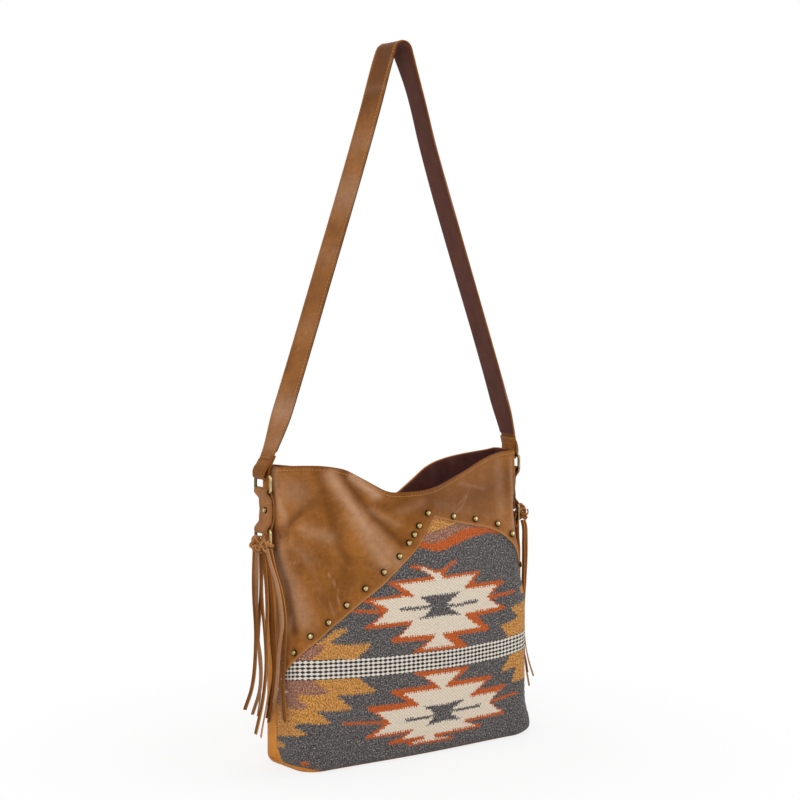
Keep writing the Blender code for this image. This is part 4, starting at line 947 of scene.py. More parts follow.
def seatRivet(name, point, normal, node):
    turn = np.linspace(0, 2 * math.pi, rivet["sides"], endpoint=False)
    radius, rise = np.array(rivet["profile"]).T * [[rivet["radius"]], [rivet["height"]]]
    points = np.stack([radius * np.cos(turn)[:, None], radius * np.sin(turn)[:, None],
                       np.broadcast_to(rise, (len(turn), len(rise)))], -1)
    faces = gridFaces(len(turn), len(rise), roundAcross=True)
    item = addPiece(name, points, faces, antiqueBrass, "bag", [node], 40, (point, normal))
    # patina at the rim and painted dark reflection up the dome, with a pale top as a painted highlight
    paint(item, "dark", np.tile(rivet["dark"], len(turn)))
    mergeDoubles(item)


def buildRivets():
    for k, (u, z) in enumerate(rivet["places"]):
        way = np.interp([u], np.array(bag["aroundFront"]) / mm, range(6))
        up = upAt(np.array([z]) * mm)
        point = onWall(way, up, yokeOff(way, up) + rivet["seat"])[0]
        seatRivet(f"yokeRivet{k + 1:02d}", point, normals(way, up)[0], f"yoke_rivet_{k + 1:02d}")
    for side, name in bothSides:
        low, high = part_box(f"{name}_tab_rivet")
        x = low.x if side > 0 else high.x
        seatRivet(f"{name}TabRivet", (x, bag["strapY"], (low.z + high.z) / 2), (side, 0, 0),
                  f"{name}_tab_rivet")


# Back, base and lining.
shell = dict(
    # paler and darker stripes of the back, and a darker band along its foot: routes as (round from the right
    # seam, height), in mm
    pale=[([(120, 300), (150, 220), (170, 140)], 12.0, 0.16), ([(250, 280), (262, 210)], 10.0, 0.14),
          ([(150, 60), (260, 48)], 14.0, 0.10)],
    dark=[([(95, 296), (128, 205), (140, 150)], 10.0, 0.22),
          ([(230, 300), (245, 200), (240, 150)], 12.0, 0.20), ([(90, 14), (280, 14)], 10.0, 0.22)],
    waySpan=75.0,  # what those routes count for each whole way, in mm
    seamDark=0.55, seamWidth=3.0, rimWidth=2.0,
    backStep=2.6 * mm, backRows=120,
    baseRings=8, baseInset=12 * mm,  # how far in the flat bottom's rings reach
    liningStep=2.8 * mm, liningRows=90, liningBelowRim=0.0010, liningDepth=bag["back"] + bag["liningSlack"],
    liningLip=0.4 * mm, liningTurn=(4 * mm, 9 * mm), creaseHeight=0.0011, creaseFade=30 * mm)


def buildBack():
    wayList = waysBy(shell["backStep"], 5.0, 10.0)
    r = bag["back"] / 2
    low, high = upBaseSeam(wayList)[:, None] + bag["gap"] / 2 + r, upAt(rimHeight(wayList))[:, None] - r
    rows = mix(low, high, np.linspace(0, 1, shell["backRows"]))
    up, _, points = panelLoop(wayList, rows, np.zeros(rows.shape), bag["back"])
    faces = panelFaces(len(wayList), shell["backRows"])
    item = addPiece("backPanel", seamShift(points), faces, goldenLeather, "bag", ["back_panel"])
    fromSeam = np.minimum(wayList - 5.0, 10.0 - wayList)[:, None] * sideSpan
    fromRim = (high - up) / mm
    seams = np.maximum(bell(fromSeam, 0.0, shell["seamWidth"]), bell(fromRim, 0.0, shell["rimWidth"]))
    u, v = np.broadcast_to((wayList[:, None] - 5) * shell["waySpan"], up.shape), heightOf(up) / mm
    paint(item, "dark", np.maximum(shell["seamDark"] * seams, strokes(shell["dark"], u, v)))
    paint(item, "pale", strokes(shell["pale"], u, v))


def trayRings(wayList, high, off, rings):
    # From a spine along the middle of the flat bottom, out to the wall and up it.
    flat = np.linspace(-shell["baseInset"], 0, 4)
    ups = [np.full_like(wayList, f) for f in flat] + [high * t for t in np.linspace(0, 1, rings)[1:]]
    walls = [onWall(wayList, up, -off) for up in ups]
    ring = walls[0]
    (left, front, _), (right, back, _) = ring.min(0), ring.max(0)
    reach, centre = (right - left) / 2 - (back - front) / 2, (right + left) / 2
    spine = np.stack([np.clip(ring[:, 0], centre - reach, centre + reach),
                      np.full(len(ring), (back + front) / 2), ring[:, 2]], -1)
    return np.stack([mix(spine, ring, t) for t in (0.0, 0.35, 0.7)] + walls, 1)


def buildBase():
    wayList = waysBy(shell["backStep"], 0.0, 10.0)[:-1]
    high = upBaseSeam(wayList) - bag["gap"] / 2
    outer = trayRings(wayList, high, 0.0, shell["baseRings"])
    inner = trayRings(wayList, high, bag["base"], shell["baseRings"])
    points = np.concatenate([outer, inner[:, ::-1]], 1)
    faces = gridFaces(len(wayList), points.shape[1], roundAcross=True)
    item = addPiece("basePanel", points, faces, goldenLeather, "bag", ["base_panel"])
    mergeDoubles(item)


def buildLining():
    wayList = waysBy(shell["liningStep"], 0.0, 10.0)[:-1]
    high = upAt(rimHeight(wayList)) - shell["liningBelowRim"]
    depth, lip = shell["liningDepth"], shell["liningLip"]
    flat = trayRings(wayList, np.full_like(wayList, fillet), depth + bag["lining"], 5)
    way, high = wayList[:, None], high[:, None]
    rows = mix(fillet, high, np.linspace(0, 1, shell["liningRows"])[1:])
    u, v = np.arange(len(wayList))[:, None] * shell["liningStep"] / mm, rows / mm
    # slow wrinkles down the cloth, with smaller ones across them
    wrinkle = np.sin(u / 17 + 0.9 * np.sin(v / 31)) * np.sin(v / 43 + u / 61) + 0.5 * np.sin(u / 9 + v / 14)
    ease = smooth((high - rows) / shell["creaseFade"]) * smooth((rows - fillet) / shell["creaseFade"])
    crease = shell["creaseHeight"] * ease * (1 + wrinkle / 1.5)
    inside = onWall(way, rows, -depth - bag["lining"] - crease)
    top = onWall(way, high + np.array([lip, 0.0]), np.array([-depth - lip, -depth]))
    down = onWall(way, high - np.array(shell["liningTurn"]), -depth)
    points = np.concatenate([flat, inside, top, down], 1)
    faces = [f[::-1] for f in gridFaces(len(wayList), points.shape[1], roundAcross=True)]
    item = addPiece("lining", points, faces, liningCloth, "bag", ["lining"], None)
    mergeDoubles(item)


buildYoke()
buildBack()
buildBase()
buildLining()
buildRivets()
print("leather, lining and rivets made")


# Rings, tabs and strap.
trim = dict(
    wire=0.00175, wireSides=14, ringHalf=0.0146, ringHeight=0.017, ringCorner=0.0026, cornerSteps=7,
    pivotOut=0.0082, upperPivot=0.3064, lowerPivot=0.2644, tabHalf=0.0122, tabLeather=0.0022, tabEase=0.013,
    barClear=0.0005, tabPuff=0.0013, puffStart=0.25, wear=dict(edge=0.45, flesh=0.85, pale=0.08),
    # darkening of the wire: a darker tone all round, and painted shade on two opposite sides of it, on the
    # right-hand rings, and at the rear
    grimeAndShade=0.30, wireSidesShade=0.30, rightRingShade=0.35, rearShade=0.80, rearFade=8 * mm)
strap = dict(
    half=0.0185, endHalf=0.0122, leather=0.0020, backing=0.0012, backingIn=0.8 * mm, crown=0.0002,
    taper=(0.340, 0.392), returnTop=0.3465, loopHalf=0.0094, loopEase=0.018,
    loopShift=0.0026, loopShiftEase=0.015,
    # how far the strap turns about its line, in radians, by height
    rightTurn=[(0.350, 0.0), (0.40, -0.11), (0.62, -0.11), (0.68, -0.15), (0.745, -0.16), (0.785, -0.03),
               (0.798, 0.06)],
    leftTurn=[(0.76, 0.0), (0.785, 0.01), (0.798, 0.06)],
    bow=(0.0022, 0.735, 0.036),  # how far the right limb bows out, where, and over what height
    # how far the loop stands out over its ring, how far above the bar, and over what height
    belly=(0.0022, 4.5 * mm, 6 * mm), bellyEase=3 * mm,
    # the step where the end of the loop is sewn down: above the bar, its height, and points across it in mm
    ledge=0.0165, ledgeHeight=0.0010, ledgeSteps=(-0.9, -0.1, 0.1, 0.5, 1.3), ledgeFade=6 * mm,
    # heights in metres, half widths and amounts of the outer side's painted sheen bands (pale) and darker
    # stretches (dark)
    pale=[(0.745, 0.005, 0.10), (0.686, 0.014, 0.16), (0.628, 0.022, 0.28), (0.560, 0.014, 0.10),
          (0.480, 0.014, 0.08), (0.392, 0.018, 0.36), (0.358, 0.010, 0.20)],
    dark=[(0.790, 0.050, 0.80), (0.735, 0.022, 0.35), (0.590, 0.010, 0.16), (0.520, 0.030, 0.16),
          (0.440, 0.030, 0.14)],
    # painted shade over the loop, and a painted shadow line along its step
    loopDark=0.42, stepDark=(0.60, 0.4 * mm, 0.5 * mm),  # the shaded loop, and the line along its step
    wear=dict(edge=0.40, flesh=0.85, all=0.14),
    apexX=0.0025, apexZ=0.7965, apexRadius=0.0122, apexHalf=math.radians(18.7), spacing=4.5 * mm,
    # each limb from its bar to the bend at the top: shares of the way up and of the way across
    leftShape=[(0.0, 0.0), (0.0185, 0.0157), (0.041, 0.047), (0.066, 0.080), (0.173, 0.195),
               (0.310, 0.334), (0.452, 0.475), (0.594, 0.617), (0.735, 0.755), (0.856, 0.869)],
    rightShape=[(0.0, 0.0), (0.0185, 0.0137), (0.041, 0.0375), (0.066, 0.056), (0.149, 0.134),
                (0.293, 0.280), (0.443, 0.438), (0.590, 0.592), (0.738, 0.743), (0.862, 0.865)])


def ringPivot(side, z):
    return np.array([side * (bag["mouthWidth"] / 2 + trim["pivotOut"]), bag["strapY"], z])


def sweep(path, wide, deep, profile, closed=False):
    # Carries a closed profile of (across, through) points along a path. wide and deep are the
    # directions of its two axes at each point of the path.
    a, b = np.array(profile, float).transpose(-1, *range(np.array(profile).ndim - 1))
    a, b = np.broadcast_to(a, (len(path), a.shape[-1])), np.broadcast_to(b, (len(path), b.shape[-1]))
    points = path[:, None] + a[..., None] * wide[:, None] + b[..., None] * deep[:, None]
    faces = gridFaces(len(path), a.shape[1], roundAcross=closed, roundAlong=True)
    if not closed:
        count, loop = a.shape
        faces += [tuple(range(loop))[::-1], tuple(range((count - 1) * loop, count * loop))]
    return points, faces


def bandProfile(half, thickness, crown=0.0, turn=3):
    # A strip of leather: flat faces with rounded edges. half may differ along the strip.
    half = np.atleast_1d(half)[:, None]
    r = thickness / 2
    corner = np.linspace(0, math.pi, turn + 2)
    flat = np.linspace(-1, 1, 7)[1:-1]
    rise = crown * (1 - flat ** 2)
    topA, rightA = (half - r) * flat, half - r + r * np.sin(corner)
    topB = np.broadcast_to(r + rise, (len(half), len(flat)))
    rightB = np.broadcast_to(r * np.cos(corner), (len(half), len(corner)))
    across = np.concatenate([topA, rightA, -topA, -rightA], 1)
    through = np.concatenate([topB, rightB, 2 * rise - topB, -rightB], 1)
    return np.stack([across, through], -1)


def unit(vectors):
    return vectors / np.linalg.norm(vectors, axis=1, keepdims=True)


def directions(path, closed=False):
    return unit(np.roll(path, -1, 0) - np.roll(path, 1, 0) if closed else np.gradient(path, axis=0))


def turned(wide, deep, angle):
    # The two axes at each point, turned about the path.
    c, s = np.cos(angle)[:, None], np.sin(angle)[:, None]
    return wide * c + deep * s, deep * c - wide * s


def stripAxes(run, turn):
    wide = np.tile([0.0, 1.0, 0.0], (len(run), 1))
    return turned(wide, np.cross(wide, run), np.broadcast_to(turn, len(run)))


def stripAlongY(path, half, thickness, crown=0.0, closed=False, turn=0.0):
    # A strip whose width runs along Y, on a path in the XZ plane, and may turn about the path.
    wide, deep = stripAxes(directions(path, closed), turn)
    points, faces = sweep(path, wide, deep, bandProfile(half, thickness, crown), closed)
    return points, faces, deep


# Where the sides of a strip lie among the points of its profile.
upperSide, oneEdge, lowerSide, otherEdge = slice(0, 5), slice(5, 10), slice(10, 15), slice(15, 20)


def paintStrip(item, points, wear, fleshUp, more=0.0):
    # Dark burnished edges and a darker flesh side, the one that faces inwards.
    dark = np.zeros(points.shape[:2]) + more
    dark[:, oneEdge] = dark[:, otherEdge] = wear["edge"]
    dark[:, upperSide if fleshUp else lowerSide] = wear["flesh"]
    paint(item, "dark", dark)


def buildRing(name, side, pivotZ, way, body, node):
    r = trim["ringCorner"]
    y, z = trim["ringHalf"] - r, trim["ringHeight"] / 2 - r
    path = []
    for corner, (sy, sz) in enumerate(((1, 1), (-1, 1), (-1, -1), (1, -1))):
        for k in range(trim["cornerSteps"] + 1):
            a = math.radians(90.0 * (corner + k / trim["cornerSteps"]))
            path.append((0.0, sy * y + r * math.cos(a), sz * z + r * math.sin(a)))
        # the straight side to the next corner
        ny, nz = ((-1, 1), (-1, -1), (1, -1), (1, 1))[corner]
        a = math.radians(90.0 * (corner + 1))
        start, end = path[-1], (0.0, ny * y + r * math.cos(a), nz * z + r * math.sin(a))
        path += [tuple(mix(p, q, t) for p, q in zip(start, end)) for t in (0.25, 0.5, 0.75)]
    path = np.array(path) + ringPivot(side, pivotZ) + (0.0, 0.0, way * trim["ringHeight"] / 2)
    wide = np.tile([1.0, 0.0, 0.0], (len(path), 1))
    turn = np.linspace(0, 2 * math.pi, trim["wireSides"], endpoint=False)
    profile = np.stack([np.cos(turn), np.sin(turn)], -1) * trim["wire"]
    points, faces = sweep(path, wide, np.cross(directions(path, True), wide), profile, True)
    item = addPiece(name, points, faces, antiqueBrass, body, [node], None)
    # a darker tone all round, with painted shade on two opposite sides of the wire, on the right-hand rings
    # and towards the rear
    rear = smooth((path[:, 1:2] - bag["strapY"]) / trim["rearFade"])
    grimeAndShade = trim["grimeAndShade"] + trim["wireSidesShade"] * np.cos(2 * turn) + trim["rightRingShade"] * (side > 0)
    paint(item, "dark", mix(grimeAndShade, trim["rearShade"], rear))


def buildTab(name, side, node):
    loop = trim["wire"] + trim["barClear"] + trim["tabLeather"] / 2
    inner = bag["gap"] + trim["tabLeather"] / 2
    outer = inner + trim["tabLeather"] + bag["gap"]
    middle = (trim["upperPivot"] + trim["lowerPivot"]) / 2
    t = np.linspace(0, 1, 12, endpoint=False)
    a = np.linspace(0, math.pi, 19)
    rise = smooth((t - trim["puffStart"]) / (1 - trim["puffStart"]))
    path = []
    for pivotZ, way in ((trim["upperPivot"], 1), (trim["lowerPivot"], -1)):
        at = pivotZ - way * trim["tabEase"] * (1 - t)
        near = list(zip(mix(inner, trim["pivotOut"] - loop, smooth(t)), at))
        far = list(zip(mix(outer + trim["tabPuff"], trim["pivotOut"] + loop, rise), at))
        arc = list(zip(trim["pivotOut"] - loop * np.cos(a), pivotZ + way * loop * np.sin(a)))
        if way == 1:
            path += near + arc + far[::-1] + [(outer + 0.4 * mm, middle)]
        else:
            path += far + arc[::-1] + near[::-1]
    path = np.array([(side * (bag["mouthWidth"] / 2 + x), bag["strapY"], z) for x, z in path])[::-side]
    half = np.full(len(path), trim["tabHalf"])
    points, faces, _ = stripAlongY(path, half, trim["tabLeather"], closed=True)
    item = addPiece(name, points, faces, tanLeather, "bag", [node], 60)
    paintStrip(item, points, trim["wear"], side > 0)
    paint(item, "pale", np.full(points.shape[:2], trim["wear"]["pale"]))


def smoothRoute(points, spacing):
    # A smooth line through the points, with its own points at about even distances.
    points = np.array(points, float)
    found = []
    for k in range(len(points) - 1):
        p1, p2 = points[k], points[k + 1]
        p0 = points[k - 1] if k else p1 * 2 - p2
        p3 = points[k + 2] if k + 2 < len(points) else p2 * 2 - p1
        d01, d12, d23 = (max(np.linalg.norm(b - a), 1e-6) for a, b in ((p0, p1), (p1, p2), (p2, p3)))
        m1 = ((p2 - p1) / d12 + (p1 - p0) / d01) / 2 * d12
        m2 = ((p3 - p2) / d23 + (p2 - p1) / d12) / 2 * d12
        count = max(1, round(d12 / spacing))
        for t in np.arange(count) / count:
            found.append(p1 * (1 + 2 * t) * (1 - t) ** 2 + p2 * t * t * (3 - 2 * t)
                         + m1 * t * (1 - t) ** 2 - m2 * t * t * (1 - t))
    return np.array(found + [points[-1]])


def strapBar():
    # How far out and how high the bars lie that the strap's loops go round.
    return bag["mouthWidth"] / 2 + trim["pivotOut"], trim["upperPivot"] + trim["ringHeight"]


def strapLine():
    # The middle of the strap's leather, from the left bar over the top to the right one.
    s = strap
    barX, barZ = strapBar()
    loop = trim["wire"] + trim["barClear"] + s["leather"] / 2
    a = math.pi - s["apexHalf"] - (math.pi - 2 * s["apexHalf"]) * np.arange(13) / 12
    r = s["apexRadius"]
    arc = np.stack([s["apexX"] + r * np.cos(a), s["apexZ"] - r * (1 - np.sin(a))], -1)
    limbs = []
    for side, shape, end in ((-1, s["leftShape"], arc[0]), (1, s["rightShape"], arc[-1])):
        up, share = np.array(shape).T
        limbs.append(np.stack([mix(side * (barX + loop), end[0], share), mix(barZ, end[1], up)], -1))
    route = smoothRoute(np.concatenate([limbs[0], arc, limbs[1][::-1]]), s["spacing"])
    out, height, width = s["bow"]
    route[:, 0] += np.where(route[:, 0] > s["apexX"], out * bell(route[:, 1], height, width), 0.0)
    return route, loop


def inward(line, distance):
    run = directions(line)
    return line + np.stack([run[:, 1], -run[:, 0]], -1) * np.asarray(distance)[..., None]


def strapHalf(z):
    low, high = strap["taper"]
    end = mix(strap["loopHalf"], strap["endHalf"], smooth((z - low + strap["loopEase"]) / strap["loopEase"]))
    return mix(end, strap["half"], smooth((z - low) / (high - low)))


def strapTurn(line):
    # The right limb turns a little towards the front, and the top the other way.
    x, z = line[:, 0], line[:, -1]
    return np.where(x > strap["apexX"], readCurve(strap["rightTurn"], z), readCurve(strap["leftTurn"], z))


def foldedPath(line, loop):
    # The whole leather: up from its left end, round both bars, and back up to its right end. limb is
    # True between the bars.
    s = strap
    barX, barZ = strapBar()
    beside = s["leather"] + bag["gap"]
    near = smooth((barZ + trim["ringHeight"] - line[:, 1]) / trim["ringHeight"])
    back = inward(line, mix(beside, 2 * loop, near))
    low = line[:, 1] <= s["returnTop"]
    left, right = back[low & (line[:, 0] < 0)], back[low & (line[:, 0] > 0)]
    a = np.linspace(0, math.pi, 15)[1:-1]
    arcs = [np.stack([side * (barX - loop * np.cos(a)), barZ - loop * np.sin(a)], -1) for side in (-1, 1)]
    flat = np.concatenate([left[::-1], arcs[0], line, arcs[1][::-1], right[::-1]])
    aside = s["loopShift"] * smooth((s["taper"][0] - flat[:, 1]) / s["loopShiftEase"])
    path = np.stack([flat[:, 0], bag["strapY"] + aside, flat[:, 1]], -1)
    start = len(left) + len(a)
    limb = np.zeros(len(path), bool)
    limb[start:start + len(line)] = True
    # close rings of points where the end of the loop stops in a step
    top = barZ + s["ledge"]
    crossing = limb[:-1] & limb[1:] & ((path[:-1, 2] < top) != (path[1:, 2] < top))
    for k in np.flatnonzero(crossing)[::-1]:
        share = (top - path[k, 2]) / (path[k + 1, 2] - path[k, 2])
        at = mix(path[k], path[k + 1], share)
        run = (path[k + 1] - path[k]) / (path[k + 1, 2] - path[k, 2]) * mm
        steps = np.array(s["ledgeSteps"])[::int(np.sign(run @ (path[k + 1] - path[k])))]
        path = np.insert(path, [k + 1] * len(steps), at + steps[:, None] * run, 0)
        limb = np.insert(limb, [k + 1] * len(steps), True)
    return path, limb


def buildStrap():
    s = strap
    barX, barZ = strapBar()
    line, loop = strapLine()
    path, limb = foldedPath(line, loop)
    half, turn, z = strapHalf(path[:, 2]), strapTurn(path), path[:, 2]
    points, faces, deep = stripAlongY(path, half, s["leather"], s["crown"], turn=turn)
    # The outer side stands proud over the loop, and fullest just above the ring.
    top, outer = barZ + s["ledge"], abs(path[:, 0]) > barX
    lift = np.where(~limb | (z < top), s["ledgeHeight"], 0.0)
    lift *= smooth(1 - np.where(limb, 0.0, abs(z - barZ) / s["ledgeFade"]))
    proud, above, reach = s["belly"]
    fullness = proud * bell(z, barZ + above, reach) * outer
    lift += fullness * smooth(1 + np.where(limb, 0.0, (z - barZ) / s["bellyEase"]))
    points[:, 9:16] -= (deep * lift[:, None])[:, None]  # the lower side with the points beside it
    item = addPiece("strapLeather", points, faces, tanLeather, "strap", ["strap_leather"], 60)
    # painted sheen bands, and darker stretches along the strap
    wearAndSheen, darker = (sum(amount * bell(z, middle, width) for middle, width, amount in s[tone])
                    for tone in ("pale", "dark"))
    # painted shade over the loop below its step, and a painted shadow line along the step
    amount, above, width = s["stepDark"]
    loopShade = np.where((z < top) & outer, s["loopDark"], 0.0) + amount * bell(z, top + above, width) * limb
    dark = np.clip(s["wear"]["all"] + darker + loopShade, 0, 0.95)[:, None]
    paintStrip(item, points, s["wear"], True, dark)
    paint(item, "pale", np.repeat(wearAndSheen, points.shape[1]))
    inner = inward(line, np.full(len(line), s["leather"] / 2 + bag["gap"] + s["backing"] / 2))
    inner = inner[line[:, 1] > s["returnTop"] + s["backing"]]
    path = np.stack([inner[:, 0], np.full(len(inner), bag["strapY"]), inner[:, 1]], -1)
    half = strapHalf(path[:, 2]) - s["backingIn"]
    points, faces, _ = stripAlongY(path, half, s["backing"], turn=strapTurn(path))
    addPiece("strapBacking", points, faces, backingLeather, "strap", ["strap_backing"], 60)


for side, name in bothSides:
    buildRing(f"{name}UpperRing", side, trim["upperPivot"], 1, f"{name}_upper_ring", f"{name}_upper_ring")
    buildRing(f"{name}LowerRing", side, trim["lowerPivot"], -1, f"{name}_tassel", f"{name}_lower_ring")
    buildTab(f"{name}Tab", side, f"{name}_tab")
buildStrap()
print("rings, tabs and strap made")


# Laces of the tassels.
lace = dict(
    half=0.0021, thickness=0.0013, barClear=0.0004, pitch=0.0049, spacing=4.0 * mm,
    folds=(0.0062, 0.0088, 0.0070, 0.0092, 0.0066), foldSway=0.0008, legDrop=0.0095,
    knotHalf=0.0018, knotClimb=0.25,  # mm that a turn rises for each radian
    # how a tail waves in metres, and how it turns about its own line in radians
    wave=0.0004, waveTurns=2.3, twistStart=-0.9, twistGain=(0.5, 1.3), twistWays=(1, -0.6), twistEase=1.2,
    sway=0.35, swayTurns=7, swayPhase=6,
    knotTones=dict(left=0.24, right=-0.42), knotToneStep=0.12, knotEdges=dict(left=0.8, right=0.3),
    # a tail's cut edges and flesh side: how pale the one edge is, as a painted highlight, and how dark the
    # others are, the other edge as painted shade
    paleEdge=0.75, darkEdge=0.85, fleshDark=0.45,
    # how dark each tail is, or how pale where below nought
    tones=dict(left=(0.30, -0.30, 0.55, -0.35, 0.10, 0.70, -0.25, 0.50, 0.20, 0.70),
               right=(0.40, 0.15, 0.65, 0.3, 0.5, 0.7, 0.3, 0.6, 0.4, 0.7)),
    # turns of a lace in its knot, in mm and degrees: out from the ring, along its bar, up from the bar,
    # two radii, the tilt along the bar, the lean outwards, the first angle, the sweep, the roll
    turns=[
        [(2.0, -9.5, -3.0, 4.4, 4.6, 38, -25, 40, 400, 0),
         (1.0, -9.0, 4.0, 3.6, 5.4, 62, 20, 190, 250, 30),
         (0.6, -13.2, 2.2, 4.4, 5.2, 22, 30, 20, 330, 10)],
        [(3.2, -4.2, -4.2, 5.0, 4.8, -36, 20, 0, 390, 10),
         (4.2, -5.0, 3.0, 4.2, 5.0, -48, -35, 120, 300, -20)],
        [(4.0, 0.6, -2.2, 5.6, 4.6, 30, -35, 90, 400, 0), (5.0, 1.0, 4.6, 5.0, 4.4, 50, 30, 160, 260, 25)],
        [(5.0, 5.0, -4.8, 5.2, 4.8, -32, 30, 30, 380, -10), (6.0, 4.5, 3.0, 5.6, 6.4, -58, 35, 100, 290, 35)],
        [(6.4, 9.0, -4.0, 4.6, 4.2, 40, 30, 0, 400, 0), (5.6, 9.6, 2.0, 4.4, 4.0, -40, -30, 60, 330, 15)]],
    shift=dict(left=(0.0, 0.0, 0.0), right=(8.0, -2.0, 5.5)),  # outwards, along the bar and up, in mm
    # each lace's two tails, from the front of the bar to its back: heights, and distances out from
    # the bag's side and along the bar, all in mm
    left=[
        ([(245, 17, -15), (225, 16, -21), (198, 14, -31), (169, 13, -36.5), (129, 11, -31.5),
          (93, 9.5, -27), (57, 8.2, -29)],
         [(245, 15, -11), (221, 12, -12), (189, 8, -17), (156, 6.5, -19.5), (113, 5.5, -13),
          (78, 5.5, -17.5), (57, 5.5, -22)]),
        ([(245, 18, -9), (226, 18, -13), (191, 16, -15.2), (147, 15, -18.5), (117, 15, -19.5),
          (82, 17, -18), (54, 18.4, -11)],
         [(245, 20, -12), (231, 21, -20), (207, 21, -34), (172, 22, -45), (141, 21, -37),
          (93, 17, -25), (53, 12.2, -3.6)]),
        ([(245, 19, -5), (191, 19, -10), (146, 19, -10.5), (107, 19, -12.3), (81, 19, -10),
          (35, 19.3, 2.7)],
         [(245, 14, -2), (189, 12, -4.6), (145, 11, -7), (110, 11, -11), (74, 10.5, -1), (55, 10.5, 3.3)]),
        ([(245, 21, 5), (188, 20, 9), (143, 20, 6.5), (121, 21, 0.5), (89, 22, 0), (59, 23.2, 13.5)],
         [(245, 16, 3), (201, 16, 5), (144, 16, -1.3), (110, 17, -4.5), (84, 18, -1.5), (37, 20.4, 12)]),
        ([(245, 22, 10), (188, 22, 11), (144, 24, 4.5), (114, 25, 5.5), (88, 26, 11), (63, 27, 22.7)],
         [(245, 13, 10), (200, 13, 10.7), (157, 13, 15), (123, 12, 18), (80, 12, 14.5), (55, 13, 19)])],
    right=[
        ([(246, 20, -12), (240, 21.3, -13.5), (227, 21.8, -14.4), (208, 21.5, -15), (178, 20.4, -13.8),
          (148, 19, -13.6), (105, 18, -16.7), (80, 19, -23), (62, 19.5, -32)],
         [(248, 13, -9), (217, 11.5, -12), (186, 10.5, -14), (140, 11, -17), (98, 12, -19.3),
          (81, 12.5, -26), (67, 12.2, -30.3)]),
        ([(246, 18, -11), (238, 19, -12.9), (216, 19, -13.4), (185, 18, -13.8), (148, 17, -14),
          (103, 17, -16), (73, 18, -19.7), (49, 19, -25)],
         [(247, 12, -5), (200, 10, -8), (150, 9, -12), (100, 10, -10), (55, 12.2, -13)]),
        ([(246, 14, -3), (216, 14, -10), (197, 13, -11.5), (151, 12, -12.5), (91, 12, -15.7),
          (42, 11, -19)],
         [(247, 11, -1), (195, 9, -2), (150, 7, 2), (95, 6, -1), (46, 5.2, -3)]),
        ([(247, 18, 4), (200, 17, 6), (150, 15, 3), (100, 13, 7), (52, 13, 6)],
         [(247, 13, 4), (190, 10, 7), (140, 6, 5), (95, 5, 9), (62, 4.2, 7)]),
        ([(247, 19, 9), (195, 16, 13), (145, 13, 12), (100, 12, 17), (58, 11.2, 20)],
         [(247, 13, 9), (200, 9, 12), (150, 6, 16), (100, 5, 14), (56, 4, 17)])])


def ribbon(path, twist):
    # A flat lace whose width starts along Y and turns by twist about its own line.
    run = directions(path)
    wide = unit(np.array([0.0, 1.0, 0.0]) - run * run[:, 1:2])
    wide, deep = turned(wide, np.cross(run, wide), twist)
    return sweep(path, wide, deep, bandProfile(np.full(len(path), lace["half"]), lace["thickness"]))


def foldLine(y, height):
    # The lace folds over the ring's bar. Both legs run down into the knot.
    loop = trim["wire"] + lace["barClear"] + lace["thickness"] / 2
    close = lace["thickness"] / 2 + bag["gap"]
    a = np.linspace(0, math.pi, 17)
    over = np.stack([loop * np.cos(a), lace["foldSway"] * np.sin(2 * a), height * np.sin(a)], -1)
    t = np.linspace(0, 1, 9)[1:]
    leg = np.stack([mix(loop, close, smooth(t)), np.zeros(len(t)), -lace["legDrop"] * t], -1)
    return np.concatenate([leg[::-1], over, leg * (-1, 1, 1)]) + (0.0, y, 0.0)


def knotTurn(out, along, rise, first, second, tilt, lean, start, sweepAngle, roll):
    # One turn of a lace, wound as a tilted oval.
    a = np.radians(np.linspace(start, start + sweepAngle, 30))[:, None]
    tilt, lean, roll = np.radians([tilt, lean, roll])
    axisOne = np.array([math.cos(lean), 0.0, math.sin(lean)])
    axisTwo = np.array([0.0, math.cos(tilt), math.sin(tilt)])
    path = np.array([out, along, rise]) + first * np.cos(a) * axisOne + second * np.sin(a) * axisTwo
    path[:, 2] += lace["knotClimb"] * (a[:, 0] - a[0, 0])
    normal, run = np.cross(axisOne, axisTwo), directions(path)
    wide = unit(normal - run * (run @ normal)[:, None])
    wide, deep = turned(wide, np.cross(run, wide), np.full(len(path), roll))
    return sweep(path * mm, wide, deep, bandProfile(np.full(len(path), lace["knotHalf"]), lace["thickness"]))


def buildKnot(name, side, k, bar, body, node):
    # The lace's fold over the bar, and its turns. All are made for the right side and mirrored at the left.
    y = (k - (len(lace[name]) - 1) / 2) * lace["pitch"]
    fold = foldLine(y, lace["folds"][k])
    shift = np.array(lace["shift"][name]) * mm
    parts = [ribbon(fold, np.zeros(len(fold)))]
    parts += [(points + shift, faces) for points, faces in (knotTurn(*turn) for turn in lace["turns"][k])]
    edges = []
    for points, _ in parts:
        marks = np.zeros(points.shape[:2])
        marks[:, oneEdge] = marks[:, otherEdge] = 1.0
        edges.append(marks.ravel())
    edges = np.concatenate(edges)
    points, faces = joined((bar + p * (side, 1, 1), f) for p, f in parts)
    if side < 0:
        faces = [face[::-1] for face in faces]
    item = addPiece(f"{name}Knot{k + 1}", points, faces, tanLeather, body, [node], 60)
    shade = lace["knotTones"][name] - lace["knotToneStep"] * (k % 3)
    paint(item, "edge", lace["knotEdges"][name] * edges)
    paint(item, "pale", max(shade, 0.0) * (1 - edges))
    paint(item, "dark", max(-shade, 0.0) * (1 - edges))


